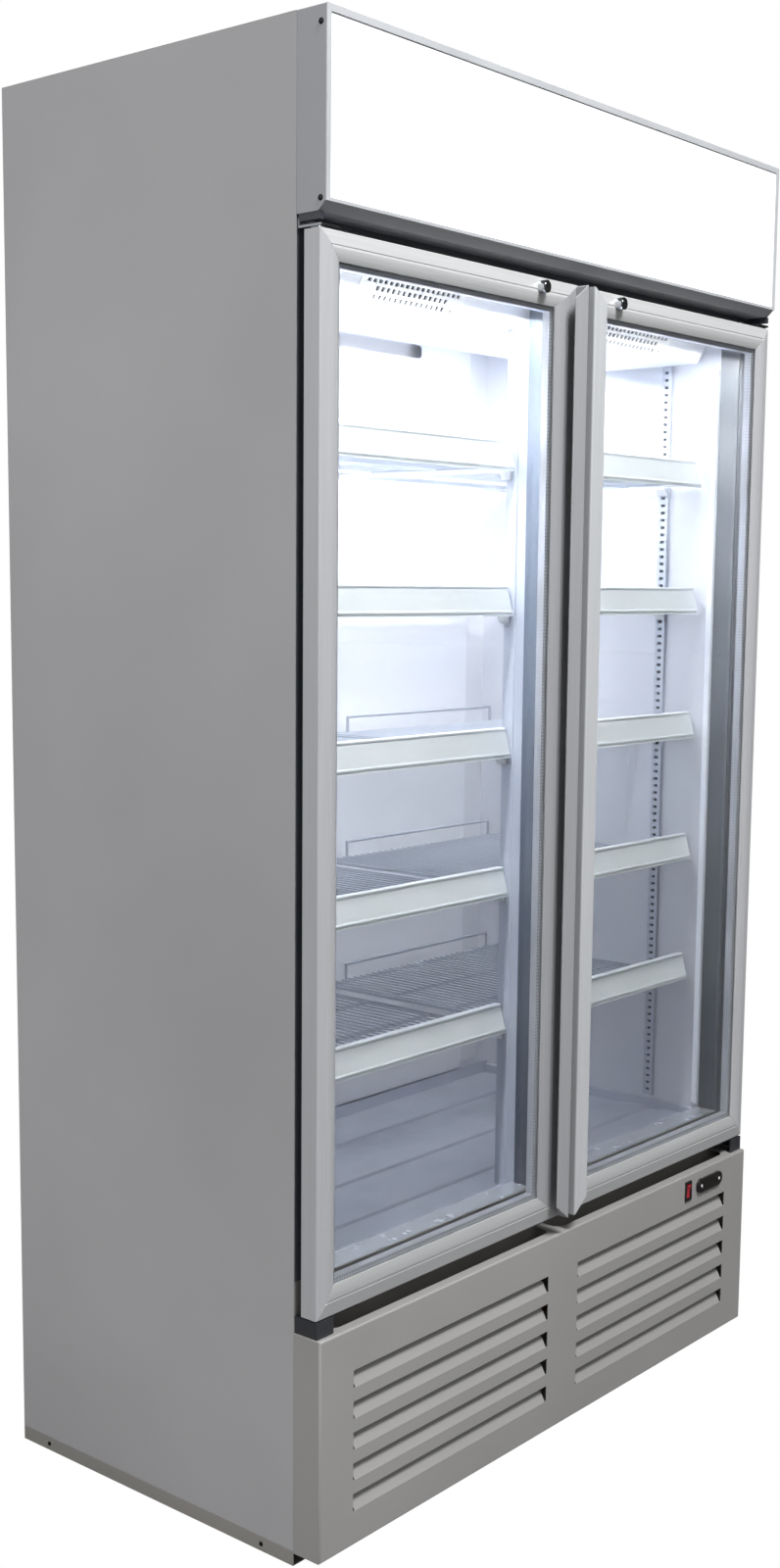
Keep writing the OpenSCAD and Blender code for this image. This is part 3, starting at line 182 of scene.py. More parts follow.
def painted_sheet(name, colour, other, rough=0.42):
    """Stove-enamelled sheet steel: satin, with a faint orange peel, a little darker in drifts."""
    material, tree, output, place = new_material(name)
    tone = mottled(tree, place, colour, other, SHEET_DRIFT_SCALE)
    peel = relief(tree, noise(tree, place, PEEL_PER_M), 0.05, 0.4 * MM)
    finish_surface(tree, output, {"Roughness": rough, "IOR": 1.5}, {"Base Color": tone, "Normal": peel})
    return material


def split_by_height(name, height, low_colours, high_colours, low, high):
    """One node with two finishes, such as brackets that are bright at the top and have painted shade at
    the foot.
    """
    material, tree, output, place = new_material(name)
    up = add_node(tree, "ShaderNodeSeparateXYZ", None, {"Vector": place}).outputs["Z"]
    above = add_node(tree, "ShaderNodeMath", {"operation": "GREATER_THAN"})
    tree.links.new(up, above.inputs[0])
    above.inputs[1].default_value = height
    blend = add_node(tree, "ShaderNodeMixShader", None, {"Fac": above.outputs["Value"]})
    for place_in_blend, tones, values in ((1, low_colours, low), (2, high_colours, high)):
        tone = mottled(tree, place, tones[0], tones[1], MOULDING_DRIFT_SCALE)
        skin = add_node(tree, "ShaderNodeBsdfPrincipled", values, {"Base Color": tone})
        tree.links.new(skin.outputs["BSDF"], blend.inputs[place_in_blend])
    tree.links.new(blend.outputs["Shader"], output.inputs["Surface"])
    return material


def anodised_extrusion(name, colour, other, stretch):
    """Satin anodised aluminium: fine lines left by the die along the extrusion, soft grey sheen."""
    material, tree, output, place = new_material(name)
    drawn = add_node(tree, "ShaderNodeMapping", {"Scale": stretch}, {"Vector": place}).outputs["Vector"]
    lines = noise(tree, drawn, SAND_PER_M, 3.0)
    tone = blended(tree, lines, other, 0.3, colour, 0.7)
    finish_surface(tree, output, {"Roughness": 0.34, "Metallic": 0.12},
        {"Base Color": tone, "Normal": relief(tree, lines, 0.04, 0.3 * MM)})
    return material


def bare_metal(name, colour, other, rough, metallic=1.0, scale=40.0):
    """Bright zinc, chrome or bare aluminium: a metal skin whose polish is dulled in small patches."""
    material, tree, output, place = new_material(name)
    tone = mottled(tree, place, colour, other, scale)
    dull = scaled(tree, noise(tree, place, scale * 4), 0.0, 1.0, rough * 0.8, rough * 1.25)
    finish_surface(tree, output, {"Metallic": metallic}, {"Base Color": tone, "Roughness": dull})
    return material


def moulded_plastic(name, colour, other, rough, texture=0.06):
    """Moulded or extruded plastic: a fine spark-eroded grain under an even colour."""
    material, tree, output, place = new_material(name)
    tone = mottled(tree, place, colour, other, MOULDING_DRIFT_SCALE)
    grain = relief(tree, noise(tree, place, SAND_PER_M), texture, 0.3 * MM)
    finish_surface(tree, output, {"Roughness": rough, "IOR": 1.49},
        {"Base Color": tone, "Normal": grain})
    return material


def lit_acrylic(name, colour, strength):
    """Opal acrylic over lamps: it glows evenly, with a smooth skin."""
    material, tree, output, place = new_material(name)
    tone = mottled(tree, place, colour, colour, GLOW_DRIFT_SCALE)
    finish_surface(tree, output, {"Roughness": 0.25, "IOR": 1.49, "Emission Strength": strength},
        {"Base Color": tone, "Emission Color": tone})
    return material


def float_glass(name, colour):
    """Clear float glass: polished both sides, with the slightest grey-green body."""
    material, tree, output, place = new_material(name)
    roll = relief(tree, noise(tree, place, 2.0, 1.0), 0.01, 0.5 * MM)
    clear = {"Base Color": linear(colour), "Roughness": 0.0, "IOR": 1.45, "Transmission Weight": 1.0}
    finish_surface(tree, output, clear, {"Normal": roll})
    return material


def perforated_bar(name, colour, hole_colour, pitch):
    """Bright spacer bar of a sealed pane, with breather holes drawn by round cells along its length."""
    material, tree, output, place = new_material(name)
    cells = add_node(tree, "ShaderNodeTexVoronoi", {"Scale": 1 / pitch, "Randomness": 0.0},
        {"Vector": place})
    tone = blended(tree, cells.outputs["Distance"], hole_colour, 0.22, colour, 0.34)
    finish_surface(tree, output, {"Roughness": 0.3, "Metallic": 0.3}, {"Base Color": tone})
    return material


def enamel(name, colour, share, rough=0.42):
    """Enamelled sheet in a colour of the colour group."""
    return painted_sheet(name, colour, darker(colour, share), rough)


def extrusion(name, colour, stretch):
    """Anodised extrusion in a colour of the colour group."""
    return anodised_extrusion(name, colour, darker(colour, GREY_DRIFT), stretch)


def make_finishes(colours):
    """Every material of the cooler by its slot, with those of the colour group in its colours."""
    return {
        "cabinet_paint": enamel("grey_stove_enamel", colours.cabinet, GREY_DRIFT),
        "canopy_paint": enamel("grey_stove_enamel_canopy", colours.canopy, GREY_DRIFT),
        "grille_paint": enamel("grey_stove_enamel_grille", colours.grille, GREY_DRIFT),
        "plinth_paint": painted_sheet("grey_enamel_plinth", "#85827e", "#7c7a77"),
        "back_sheet": bare_metal("galvanised_sheet", "#a9abae", "#999ca0", 0.45, 0.6, 24.0),
        "foam": moulded_plastic("polyurethane_foam", "#e3d9a8", "#d8cc96", 0.9, 0.3),
        "liner_paint": enamel("white_enamel_liner", colours.liner, WHITE_DRIFT, 0.35),
        "duct_paint": enamel("white_enamel_duct", colours.duct, WHITE_DRIFT, 0.35),
        "floor_sheet": bare_metal("pressed_floor_sheet", "#bcc1ce", "#b3b8c5", 0.36, 0.25, 12.0),
        "sill_sheet": bare_metal("bright_sill_sheet", "#cdd1d9", "#c3c7d0", 0.25, 0.6, 12.0),
        "frame_dark": split_by_height("charcoal_frame", 0.4,
            ("#7d7b78", "#757370"), ("#474b51", "#41454b"),
            {"Roughness": 0.5}, {"Roughness": 0.42}),
        "mullion_dark": painted_sheet("slate_enamel_mullion", "#39414f", "#343c4a", 0.45),
        "post_paint": painted_sheet("light_enamel_post", "#b3b9c7", "#abb1c0", 0.38),
        "upright_paint": painted_sheet("light_enamel_upright", "#b9bfcb", "#b1b7c4", 0.4),
        "clip_plastic": moulded_plastic("white_nylon_clip", "#eceef0", "#e4e6ea", 0.35),
        # The shelf wire is white; its mid grey is painted shade, so that the wires show darker against
        # the lit walls
        "shelf_wire": moulded_plastic("grey_nylon_dipped_wire", "#9aa0ab", "#9197a2", 0.3),
        "strip_plastic": moulded_plastic("white_pvc_strip", colours.strip,
            darker(colours.strip, WHITE_DRIFT), 0.28, 0.03),
        "fin_metal": bare_metal("aluminium_fins", "#b8bcc2", "#a6aab0", 0.4),
        "motor_paint": painted_sheet("grey_enamel_motor", "#5b5e64", "#53565c"),
        "light_plastic": lit_acrylic("opal_acrylic", "#ffffff", 1.0),
        "led_diffuser": lit_acrylic("frosted_led_diffuser", "#eef2fb", 0.12),
        "trim_plastic": moulded_plastic("grey_pvc_snap_trim", "#a3a5a8", "#9b9da1", 0.4, 0.03),
        "screw_black": bare_metal("black_zinc_screw", "#1d1e20", "#151618", 0.35, 0.8, 200.0),
        "black_plastic": moulded_plastic("black_abs", "#241f1f", "#1c1818", 0.3),
        # The lower brackets' dark colour is painted shade: they are the same bright zinc brackets as the
        # upper ones, darkened where shade falls at the foot
        "bracket_steel": split_by_height("zinc_brackets", 1.0,
            ("#3f4044", "#393a3e"), ("#c3c7cc", "#afb3b9"),
            {"Roughness": 0.45, "Metallic": 0.4}, {"Roughness": 0.22, "Metallic": 1.0}),
        "compressor_paint": painted_sheet("black_enamel_shell", "#1d1e20", "#232427", 0.3),
        "shroud_paint": painted_sheet("black_enamel_shroud", "#303236", "#2a2c30", 0.45),
        "tray_plastic": moulded_plastic("black_polypropylene", "#2f3135", "#292b2f", 0.5),
        "pipe_copper": bare_metal("drawn_copper", "#b87548", "#a4643c", 0.3),
        "fan_plastic": moulded_plastic("black_glass_filled_nylon", "#2b2d31", "#242629", 0.5),
        "red_plastic": moulded_plastic("red_polycarbonate", "#a8323c", "#9a2a34", 0.2, 0.02),
        "key_plastic": moulded_plastic("light_grey_abs_key", "#d4d6d8", "#c9cbcd", 0.3),
        "door_aluminium": extrusion("satin_anodised_aluminium", colours.stile, ALONG_Z),
        # One aluminium in lit and shaded copies: the top rails and right grip are lighter as a painted
        # highlight, the left grip and bottom rails darker as painted shade
        "lit_top_aluminium": extrusion("satin_anodised_top_rail", colours.top_rail, ALONG_X),
        "lit_grip_aluminium": extrusion("satin_anodised_grip", colours.lit_right_grip, ALONG_Z),
        "shaded_aluminium": extrusion("satin_anodised_handle", colours.shaded_left_grip, ALONG_Z),
        "shaded_low_aluminium": extrusion("satin_anodised_low_rail", colours.shaded_low_rail, ALONG_X),
        "spacer_metal": perforated_bar("perforated_spacer_bar", "#dfe2ea", "#a9aebd", 5 * MM),
        "gasket_rubber": moulded_plastic("grey_soft_pvc_gasket", "#30333a", "#292c32", 0.55),
        "lock_metal": bare_metal("chromed_zinc_lock", "#d3d6da", "#c4c7cc", 0.14),
        "door_glass": float_glass("clear_float_glass", "#fcfdfd"),
    }


finishes = {}
slot_of = {part["node"]: part["material_slot"] for part in frame["record"]["subparts"]}


def dress(node, slot_name=None):
    """Gives a CAD node its finish."""
    obj = frame["nodes"][node]
    obj.data.materials.clear()
    obj.data.materials.append(finishes[slot_name or slot_of[node]])


def round_edges(node, width):
    """A small modifier radius on a CAD node's sharp edges, as folding and moulding leave."""
    obj = frame["nodes"][node]
    weld = obj.modifiers.new("join_faces", "WELD")
    weld.merge_threshold = 0.01 * MM
    bevel = obj.modifiers.new("edge_radius", "BEVEL")
    bevel.width = width
    bevel.segments = 2
    bevel.limit_method = "ANGLE"
    bevel.angle_limit = math.radians(40)
    bevel.harden_normals = False


def mesh_piece(name, bm, slot_name, body, smooth=False):
    """Turns a bmesh into a piece that has a slot's finish and rides on a body."""
    bmesh.ops.recalc_face_normals(bm, faces=bm.faces)
    mesh = bpy.data.meshes.new(name)
    bm.to_mesh(mesh)
    bm.free()
    for face in mesh.polygons:
        face.use_smooth = smooth
    piece = bpy.data.objects.new(name, mesh)
    bpy.context.scene.collection.objects.link(piece)
    mesh.materials.append(finishes[slot_name])
    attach(piece, body)
    return piece


def ring_sweep(bm, profile, x0, x1, z0, z1):
    """Sweeps a closed profile of (inset, depth) points round a rectangle, mitred at its corners."""
    loops = []
    for inset, depth in profile:
        loops.append([
            bm.verts.new((x0 + inset, depth, z0 + inset)),
            bm.verts.new((x1 - inset, depth, z0 + inset)),
            bm.verts.new((x1 - inset, depth, z1 - inset)),
            bm.verts.new((x0 + inset, depth, z1 - inset)),
        ])
    for i, loop in enumerate(loops):
        following = loops[(i + 1) % len(loops)]
        for k in range(4):
            bm.faces.new((loop[k], loop[(k + 1) % 4], following[(k + 1) % 4], following[k]))


def add_box(bm, low, high):
    """Adds a closed box between two corners to a mesh."""
    centre = (Vector(low) + Vector(high)) / 2
    size = Vector(high) - Vector(low)
    place = Matrix.Translation(centre) @ Matrix.Diagonal((size.x, size.y, size.z, 1.0))
    bmesh.ops.create_cube(bm, size=1.0, matrix=place)


def turned(bm, profile, place, axis, segments=32):
    """Turns a profile of (radius, height) points round an axis that starts at a place."""
    axis = Vector(axis).normalized()
    side = axis.orthogonal().normalized()
    other = axis.cross(side)
    rings = []
    for radius, height in profile:
        centre = Vector(place) + axis * height
        if radius == 0:
            rings.append([bm.verts.new(centre)])
            continue
        rings.append([
            bm.verts.new(centre + radius * (side * math.cos(a) + other * math.sin(a)))
            for a in (2 * math.pi * i / segments for i in range(segments))
        ])
    for low, high in zip(rings, rings[1:]):
        for i in range(segments):
            j = (i + 1) % segments
            corners = [low[i % len(low)], low[j % len(low)], high[j % len(high)], high[i % len(high)]]
            unique = list(dict.fromkeys(corners))
            if len(unique) > 2:
                bm.faces.new(unique)
    for ring in (rings[0], rings[-1]):
        if len(ring) > 1:
            bm.faces.new(ring)


class CoolerSizes(bpy.types.PropertyGroup):
    """Sizes of the fine detail that the add-on makes."""

    sheet_fold: bpy.props.FloatProperty(
        name="Fold radius", description="Radius on the folds of the outer sheets",
        default=1.0 * MM, unit="LENGTH")
    frame_fold: bpy.props.FloatProperty(
        name="Frame edge radius", description="Radius on the edges of the door extrusions",
        default=0.5 * MM, unit="LENGTH")
    outlet_width: bpy.props.FloatProperty(
        name="Outlet width", description="Width of an air outlet's plate",
        default=218 * MM, unit="LENGTH")
    outlet_middle: bpy.props.FloatProperty(
        name="Outlet place", description="Distance of an air outlet's middle from the cooler's middle",
        default=275 * MM, unit="LENGTH")
    outlet_hole: bpy.props.FloatProperty(
        name="Outlet hole", description="Side of a square hole in an air outlet's plate",
        default=7.5 * MM, unit="LENGTH")
    outlet_row_step: bpy.props.FloatProperty(
        name="Outlet rows", description="Distance between the rows of holes in an air outlet's plate",
        default=11.5 * MM, unit="LENGTH")
    outlet_columns: bpy.props.IntProperty(
        name="Outlet columns", description="Number of holes in the first row of an air outlet's plate",
        default=18)
    slot_pitch: bpy.props.FloatProperty(
        name="Slot pitch", description="Distance between the slots of an upright",
        default=12.6 * MM, unit="LENGTH")
    # Slot width and slot height size the dark boxes of painted shade behind the slots
    slot_width: bpy.props.FloatProperty(
        name="Slot width", description="Width of the dark hollow behind an upright's slot",
        default=7.8 * MM, unit="LENGTH")
    slot_height: bpy.props.FloatProperty(
        name="Slot height", description="Height of the dark hollow behind an upright's slot",
        default=4.8 * MM, unit="LENGTH")
    # The foot of the dark blocks of painted shade at the canopy's ends
    shade_block_foot: bpy.props.FloatProperty(
        name="Canopy seal foot",
        description="Height of the end seals' foot, just over the hinge brackets' plates",
        default=1.7605, unit="LENGTH")
    spacer_width: bpy.props.FloatProperty(
        name="Spacer width", description="Width of the spacer bar, seen through the pane",
        default=10 * MM, unit="LENGTH")
    spacer_seal: bpy.props.FloatProperty(
        name="Spacer sealant", description="Thickness of the sealant between spacer bar and pane",
        default=0.25 * MM, unit="LENGTH")
    gasket_width: bpy.props.FloatProperty(
        name="Gasket width", description="Width of the gasket's bellows",
        default=15 * MM, unit="LENGTH")
    gasket_fold: bpy.props.FloatProperty(
        name="Gasket fold", description="Depth of the folds in the gasket's bellows",
        default=2.6 * MM, unit="LENGTH")
    key_mark: bpy.props.FloatProperty(
        name="Key mark", description="Radius of the light mark on a thermostat key",
        default=2.7 * MM, unit="LENGTH")


def colour_property(name, description, default):
    """A colour property with an sRGB hex value as its default."""
    return bpy.props.FloatVectorProperty(
        name=name, description=description,
        default=linear(default)[:3], min=0.0, max=1.0, subtype="COLOR")


class CoolerColours(bpy.types.PropertyGroup):
    """Colours of the large sheets and extrusions."""

    cabinet: colour_property("Cabinet", "Enamel of the outer side sheets", "#9a999b")
    canopy: colour_property("Canopy", "Enamel of the canopy's shell", "#909195")
    grille: colour_property("Grille", "Enamel of the louvred grille", "#8c8b8a")
    liner: colour_property("Lining", "Enamel of the inner lining", "#d0d3dc")
    duct: colour_property("Duct", "Enamel of the duct on the rear wall", "#dee1e9")
    strip: colour_property("Price strips", "Plastic of the price strips", "#f5fbff")
    stile: colour_property("Stiles", "Aluminium of the hinge stiles", "#a9aaad")
    # The left grip, right grip, top rails and bottom rails are the stiles' aluminium with painted light:
    # lighter where lit, darker where shaded
    shaded_left_grip: colour_property("Left grip", "Aluminium of the left door's handle stile", "#97989b")
    lit_right_grip: colour_property("Right grip", "Aluminium of the right door's handle stile", "#b6b8bb")
    top_rail: colour_property("Top rails", "Aluminium of the doors' top rails", "#b6b7b8")
    shaded_low_rail: colour_property("Bottom rails", "Aluminium of the doors' bottom rails", "#9fa0a1")


class CoolerLight(bpy.types.PropertyGroup):
    """Lamps, backdrop and camera."""

    lens: bpy.props.FloatProperty(
        name="Lens", description="Focal length of the camera in millimetres",
        default=42.03, unit="CAMERA")
    sky_top: bpy.props.FloatProperty(
        name="Sky overhead", description="Strength of the sky light straight above",
        default=0.75)
    sky_low: bpy.props.FloatProperty(
        name="Sky at the floor", description="Strength of the sky light near the floor",
        default=0.3)
    dark_wall: bpy.props.FloatProperty(
        name="Dark wall", description="Share of the sky that the studio's right side hides from glass",
        default=0.92, min=0.0, max=1.0, subtype="FACTOR")
    window_fill: bpy.props.FloatProperty(
        name="Window", description="How much more light comes in through the doors from the front left",
        default=2.5)
    key_power: bpy.props.FloatProperty(
        name="Key lamp", description="Power of the lamp high in front",
        default=380.0, unit="POWER")
    side_power: bpy.props.FloatProperty(
        name="Side lamp", description="Power of the soft lamp at the left side",
        default=78.0, unit="POWER")
    inner_power: bpy.props.FloatProperty(
        name="Inner lamps", description="Power of each lamp behind the lintel",
        default=38.0, unit="POWER")
    back_power: bpy.props.FloatProperty(
        name="Back lamps", description="Power of each lamp under the evaporator cover",
        default=10.0, unit="POWER")
    outlet_power: bpy.props.FloatProperty(
        name="Outlet lamps", description="Power of each lamp under an air outlet",
        default=0.3, unit="POWER")
    floor_tone: bpy.props.FloatProperty(
        name="Floor", description="Share of the light that the floor throws back",
        default=0.26, min=0.0, max=1.0, subtype="FACTOR")
    glass_floor_tone: bpy.props.FloatProperty(
        name="Floor in the glass", description="The same share for rays that a pane throws back",
        default=0.039, min=0.0, max=1.0, subtype="FACTOR")


class COOLER_OT_sheets(bpy.types.Operator):
    """Finish the outer sheets, the canopy, the grille and the plinth"""

    bl_idname = "cooler.sheets"
    bl_label = "Outer sheets"

    def execute(self, context):
        fold = context.scene.cooler_sizes.sheet_fold
        for node in ("side_panels", "canopy_shell", "grille_panel"):
            dress(node)
            round_edges(node, fold)
        for node in ("top_panel", "back_panel", "base_frame", "canopy_trim", "light_panel", "screws",
                "cable_gland"):
            dress(node)
        return {"FINISHED"}


class COOLER_OT_cold_space(bpy.types.Operator):
    """Finish the lining, the floor, the frame round the opening and the evaporator cover"""

    bl_idname = "cooler.cold_space"
    bl_label = "Cold space"

    def execute(self, context):
        for node in ("insulation", "inner_liner", "floor_pan", "threshold", "rear_duct", "front_frame",
                "mullion", "centre_post", "slotted_uprights", "shelf_clips", "evaporator_cover",
                "evaporator_coil"):
            dress(node)
        dress("led_strips", "led_diffuser")
        return {"FINISHED"}


class COOLER_OT_air_outlet(bpy.types.Operator):
    """Make the white plates with square holes on the evaporator cover's slope"""

    bl_idname = "cooler.air_outlet"
    bl_label = "Air outlets"

    def execute(self, context):
        sizes = context.scene.cooler_sizes
        low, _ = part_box("evaporator_cover")
        # The cover's slope leans this far over this rise
        lean = 22 * MM
        rise = 35 * MM
        face = math.hypot(lean, rise)
        across = Vector((1, 0, 0))
        down = Vector((0, lean, -rise)) / face
        out = Vector((0, -rise, -lean)) / face
        width = sizes.outlet_width
        hole = sizes.outlet_hole
        columns = sizes.outlet_columns
        rows = 3
        # The lower rows leave out this many holes at each end, where the screws are
        holes_left_out = 2
        # The plate: plain ends, overhang past them, margins above and below, lift off the slope
        edge = 8 * MM
        overhang = 3 * MM
        margin = 0.6 * MM
        lift = 0.85 * MM
        thickness = 0.8 * MM
        # The dark sheet behind it, painted shade in the holes: its distance, how far it starts below the
        # top and its depth
        recess = 6 * MM
        shade_drop = 5 * MM
        shade_depth = 0.6 * MM
        screw_profile = [(2.4 * MM, 0), (2.4 * MM, 0.8 * MM), (1.4 * MM, 1.5 * MM), (0, 1.7 * MM)]
        screw_sides = 20
        pitch = (width - 2 * edge) / columns
        xs = [-overhang]
        for column in range(columns):
            left = edge + (column + 0.5) * pitch - hole / 2
            xs += [left, left + hole]
        xs.append(width + overhang)
        ys = [margin]
        for row in range(rows):
            top = (face - hole) / 2 + (row - 1) * sizes.outlet_row_step
            ys += [top, top + hole]
        ys.append(face - margin)
        plate = bmesh.new()
        screws = bmesh.new()
        shade_sheets = bmesh.new()
        for side in (-1, 1):
            left_end = side * sizes.outlet_middle - width / 2
            corner = Vector((left_end, low.y, low.z + rise)) + out * lift
            grid = [[plate.verts.new(corner + across * x + down * y) for x in xs] for y in ys]
            for r in range(len(ys) - 1):
                first = holes_left_out if r > 1 else 0
                for c in range(len(xs) - 1):
                    if r % 2 == 1 and c % 2 == 1 and first <= (c - 1) // 2 < columns - first:
                        continue
                    plate.faces.new((grid[r][c], grid[r][c + 1], grid[r + 1][c + 1], grid[r + 1][c]))
            for x in (edge + pitch, width - edge - pitch):
                place = corner + across * x + down * (face / 2 + sizes.outlet_row_step) + out * thickness
                turned(screws, screw_profile, place, out, screw_sides)
            # The dark sheet of painted shade behind the holes
            back = corner - out * recess
            ends = ((0, shade_drop), (width, shade_drop), (width, face), (0, face))
            shade_sheets.faces.new([shade_sheets.verts.new(back + across * x + down * y) for x, y in ends])
        for bm, depth in ((plate, thickness), (shade_sheets, shade_depth)):
            solid = bmesh.ops.extrude_face_region(bm, geom=list(bm.faces))
            lifted = [v for v in solid["geom"] if isinstance(v, bmesh.types.BMVert)]
            bmesh.ops.translate(bm, verts=lifted, vec=out * depth)
        mesh_piece("outlet_plates", plate, "clip_plastic", "cabinet")
        mesh_piece("outlet_screws", screws, "motor_paint", "cabinet", smooth=True)
        mesh_piece("outlet_filters", shade_sheets, "shroud_paint", "cabinet")
        return {"FINISHED"}


class COOLER_OT_upright_slots(bpy.types.Operator):
    """Make dark boxes behind the slots of the uprights, painted shade for the hollow channel"""

    bl_idname = "cooler.upright_slots"
    bl_label = "Upright slots"

    def execute(self, context):
        sizes = context.scene.cooler_sizes
        low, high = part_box("slotted_uprights")
        wide = sizes.slot_width
        tall = sizes.slot_height
        # The first slot's height over the foot, and the length of an upright that has no slots
        first = 8.1 * MM
        plain_length = 10 * MM
        # A dark box of painted shade reaches from just before the wall to this far in front of it
        back = 0.3 * MM
        recess = 4 * MM
        # The middles of the side uprights, and how much higher the one in the middle stands
        side_rows = (-117.25 * MM, 172.75 * MM)
        lift = 16 * MM
        count = round((high.z - low.z - lift - plain_length) / sizes.slot_pitch)
        bm = bmesh.new()
        for i in range(count):
            z = low.z + first + i * sizes.slot_pitch
            for side in (-1, 1):
                for y in side_rows:
                    ends = sorted((side * (high.x - back), side * (high.x - recess)))
                    add_box(bm, (ends[0], y - wide / 2, z), (ends[1], y + wide / 2, z + tall))
            z += lift
            add_box(bm, (-wide / 2, high.y - recess, z), (wide / 2, high.y - back, z + tall))
        mesh_piece("upright_hollows", bm, "shroud_paint", "cabinet")
        return {"FINISHED"}


class COOLER_OT_canopy_shade_blocks(bpy.types.Operator):
    """Make dark blocks at the ends of the gap under the canopy, painted shade where the canopy shadows
    the brackets
    """

    bl_idname = "cooler.canopy_seals"
    bl_label = "Canopy seals"

    def execute(self, context):
        low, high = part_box("hinge_brackets")
        _, side_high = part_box("side_panels")
        canopy_low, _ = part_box("canopy_shell")
        foot = context.scene.cooler_sizes.shade_block_foot
        # Each block ends a little short of the canopy, the sheets and the brackets' ends
        top = canopy_low.z - 0.3 * MM
        front = low.y + 1 * MM
        rear = high.y - 3.4 * MM
        inner = side_high.x - 7 * MM
        outer = side_high.x - 0.6 * MM
        bm = bmesh.new()
        for side in (-1, 1):
            ends = sorted((side * outer, side * inner))
            add_box(bm, (ends[0], front, foot), (ends[1], rear, top))
        mesh_piece("canopy_end_seals", bm, "gasket_rubber", "cabinet")
        return {"FINISHED"}


class COOLER_OT_shelves(bpy.types.Operator):
    """Finish the wire shelves and their price strips"""

    bl_idname = "cooler.shelves"
    bl_label = "Shelves"

    def execute(self, context):
        for node in ("left_shelves", "right_shelves", "price_strips"):
            dress(node)
        return {"FINISHED"}


class COOLER_OT_doors(bpy.types.Operator):
    """Finish both doors with their frames, panes, hinge plates and locks, and the hinge brackets"""

    bl_idname = "cooler.doors"
    bl_label = "Doors"

    def execute(self, context):
        edge = context.scene.cooler_sizes.frame_fold
        for side in SIDES:
            for part in ("glass", "hinge_plates", "lock_housing", "lock_plug"):
                dress(f"{side}_{part}")
            # Lit and shaded copies of one aluminium: painted highlight on the top rails and right grip,
            # painted shade on the left grip and bottom rails
            for part, slot_name in (
                ("hinge_stile", "door_aluminium"),
                ("handle_stile", "shaded_aluminium" if side == "left" else "lit_grip_aluminium"),
                ("top_rail", "lit_top_aluminium"),
                ("bottom_rail", "shaded_low_aluminium"),
            ):
                dress(f"{side}_{part}", slot_name)
                round_edges(f"{side}_{part}", edge)
        dress("hinge_brackets")
        return {"FINISHED"}


class COOLER_OT_spacers(bpy.types.Operator):
    """Make the spacer bars between the panes, a line of sealant clear of each pane"""

    bl_idname = "cooler.spacers"
    bl_label = "Spacer bars"

    def execute(self, context):
        width = context.scene.cooler_sizes.spacer_width
        seal = context.scene.cooler_sizes.spacer_seal
        for side in SIDES:
            node = f"{side}_glass_spacer"
            low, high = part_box(node)
            near = low.y + seal
            far = high.y - seal
            profile = [(0.0, near), (0.0, far), (width, far), (width, near)]
            bm = bmesh.new()
            ring_sweep(bm, profile, low.x, high.x, low.z, high.z)
            piece = mesh_piece(f"{side}_spacer_bar", bm, "spacer_metal", f"{side}_door")
            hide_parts(node)
        return {"FINISHED"}


# The gasket's outer side from the frame to the cabinet: shares of the fold and of the depth
BELLOWS = ((0.3, 0.0), (0.3, 0.12), (1.0, 0.24), (0.0, 0.42), (1.0, 0.6), (0.0, 0.7), (0.0, 1.0))


class COOLER_OT_gaskets(bpy.types.Operator):
    """Make the gaskets as mitred bellows"""

    bl_idname = "cooler.gaskets"
    bl_label = "Gaskets"

    def execute(self, context):
        width = context.scene.cooler_sizes.gasket_width
        fold = context.scene.cooler_sizes.gasket_fold
        for side in SIDES:
            node = f"{side}_gasket"
            low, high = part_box(node)
            depth = high.y - low.y
            profile = [(fold * inset, low.y + depth * share) for inset, share in BELLOWS]
            profile += [(width - inset, y) for inset, y in reversed(profile)]
            bm = bmesh.new()
            ring_sweep(bm, profile, low.x, high.x, low.z, high.z)
            piece = mesh_piece(f"{side}_gasket_bellows", bm, "gasket_rubber", f"{side}_door")
            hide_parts(node)
        return {"FINISHED"}


class COOLER_OT_machine(bpy.types.Operator):
    """Finish the compressor, the condenser, the fans, the tray and the pipes"""

    bl_idname = "cooler.machine"
    bl_label = "Machine parts"

    def execute(self, context):
        for node in ("compressor", "condenser", "fan_shroud", "fan_motors", "evaporation_tray",
                "pipework", "evaporator_fan", "condenser_fan"):
            dress(node)
        return {"FINISHED"}


class COOLER_OT_controls(bpy.types.Operator):
    """Finish the thermostat and the switch"""

    bl_idname = "cooler.controls"
    bl_label = "Controls"

    def execute(self, context):
        for node in ("thermostat_housing", "switch_bezel", "rocker"):
            dress(node)
        mark = context.scene.cooler_sizes.key_mark
        for side in SIDES:
            node = f"thermostat_key_{side}"
            dress(node, "black_plastic")
            low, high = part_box(node)
            centre = (low + high) / 2
            # A flat dome that is sunk a little into the key's face
            dome = [(mark, -0.2 * MM), (mark, 0.15 * MM), (mark * 0.8, 0.35 * MM), (0, 0.45 * MM)]
            bm = bmesh.new()
            turned(bm, dome, (centre.x, low.y, centre.z), (0, -1, 0))
            mesh_piece(f"key_mark_{side}", bm, "key_plastic", f"{side}_key", smooth=True)
        return {"FINISHED"}


def area_lamp(name, place, target, size, power, colour="#ffffff"):
    """A soft rectangular lamp that looks at a point."""
    data = bpy.data.lights.new(name, "AREA")
    data.shape = "RECTANGLE"
    data.size = size[0]
    data.size_y = size[1]
    data.energy = power
    data.color = linear(colour)[:3]
    lamp = bpy.data.objects.new(name, data)
    bpy.context.scene.collection.objects.link(lamp)
    lamp.location = place
    lamp.rotation_euler = (Vector(target) - Vector(place)).to_track_quat("-Z", "Y").to_euler()
    lamp.visible_camera = False
    lamp.visible_transmission = False


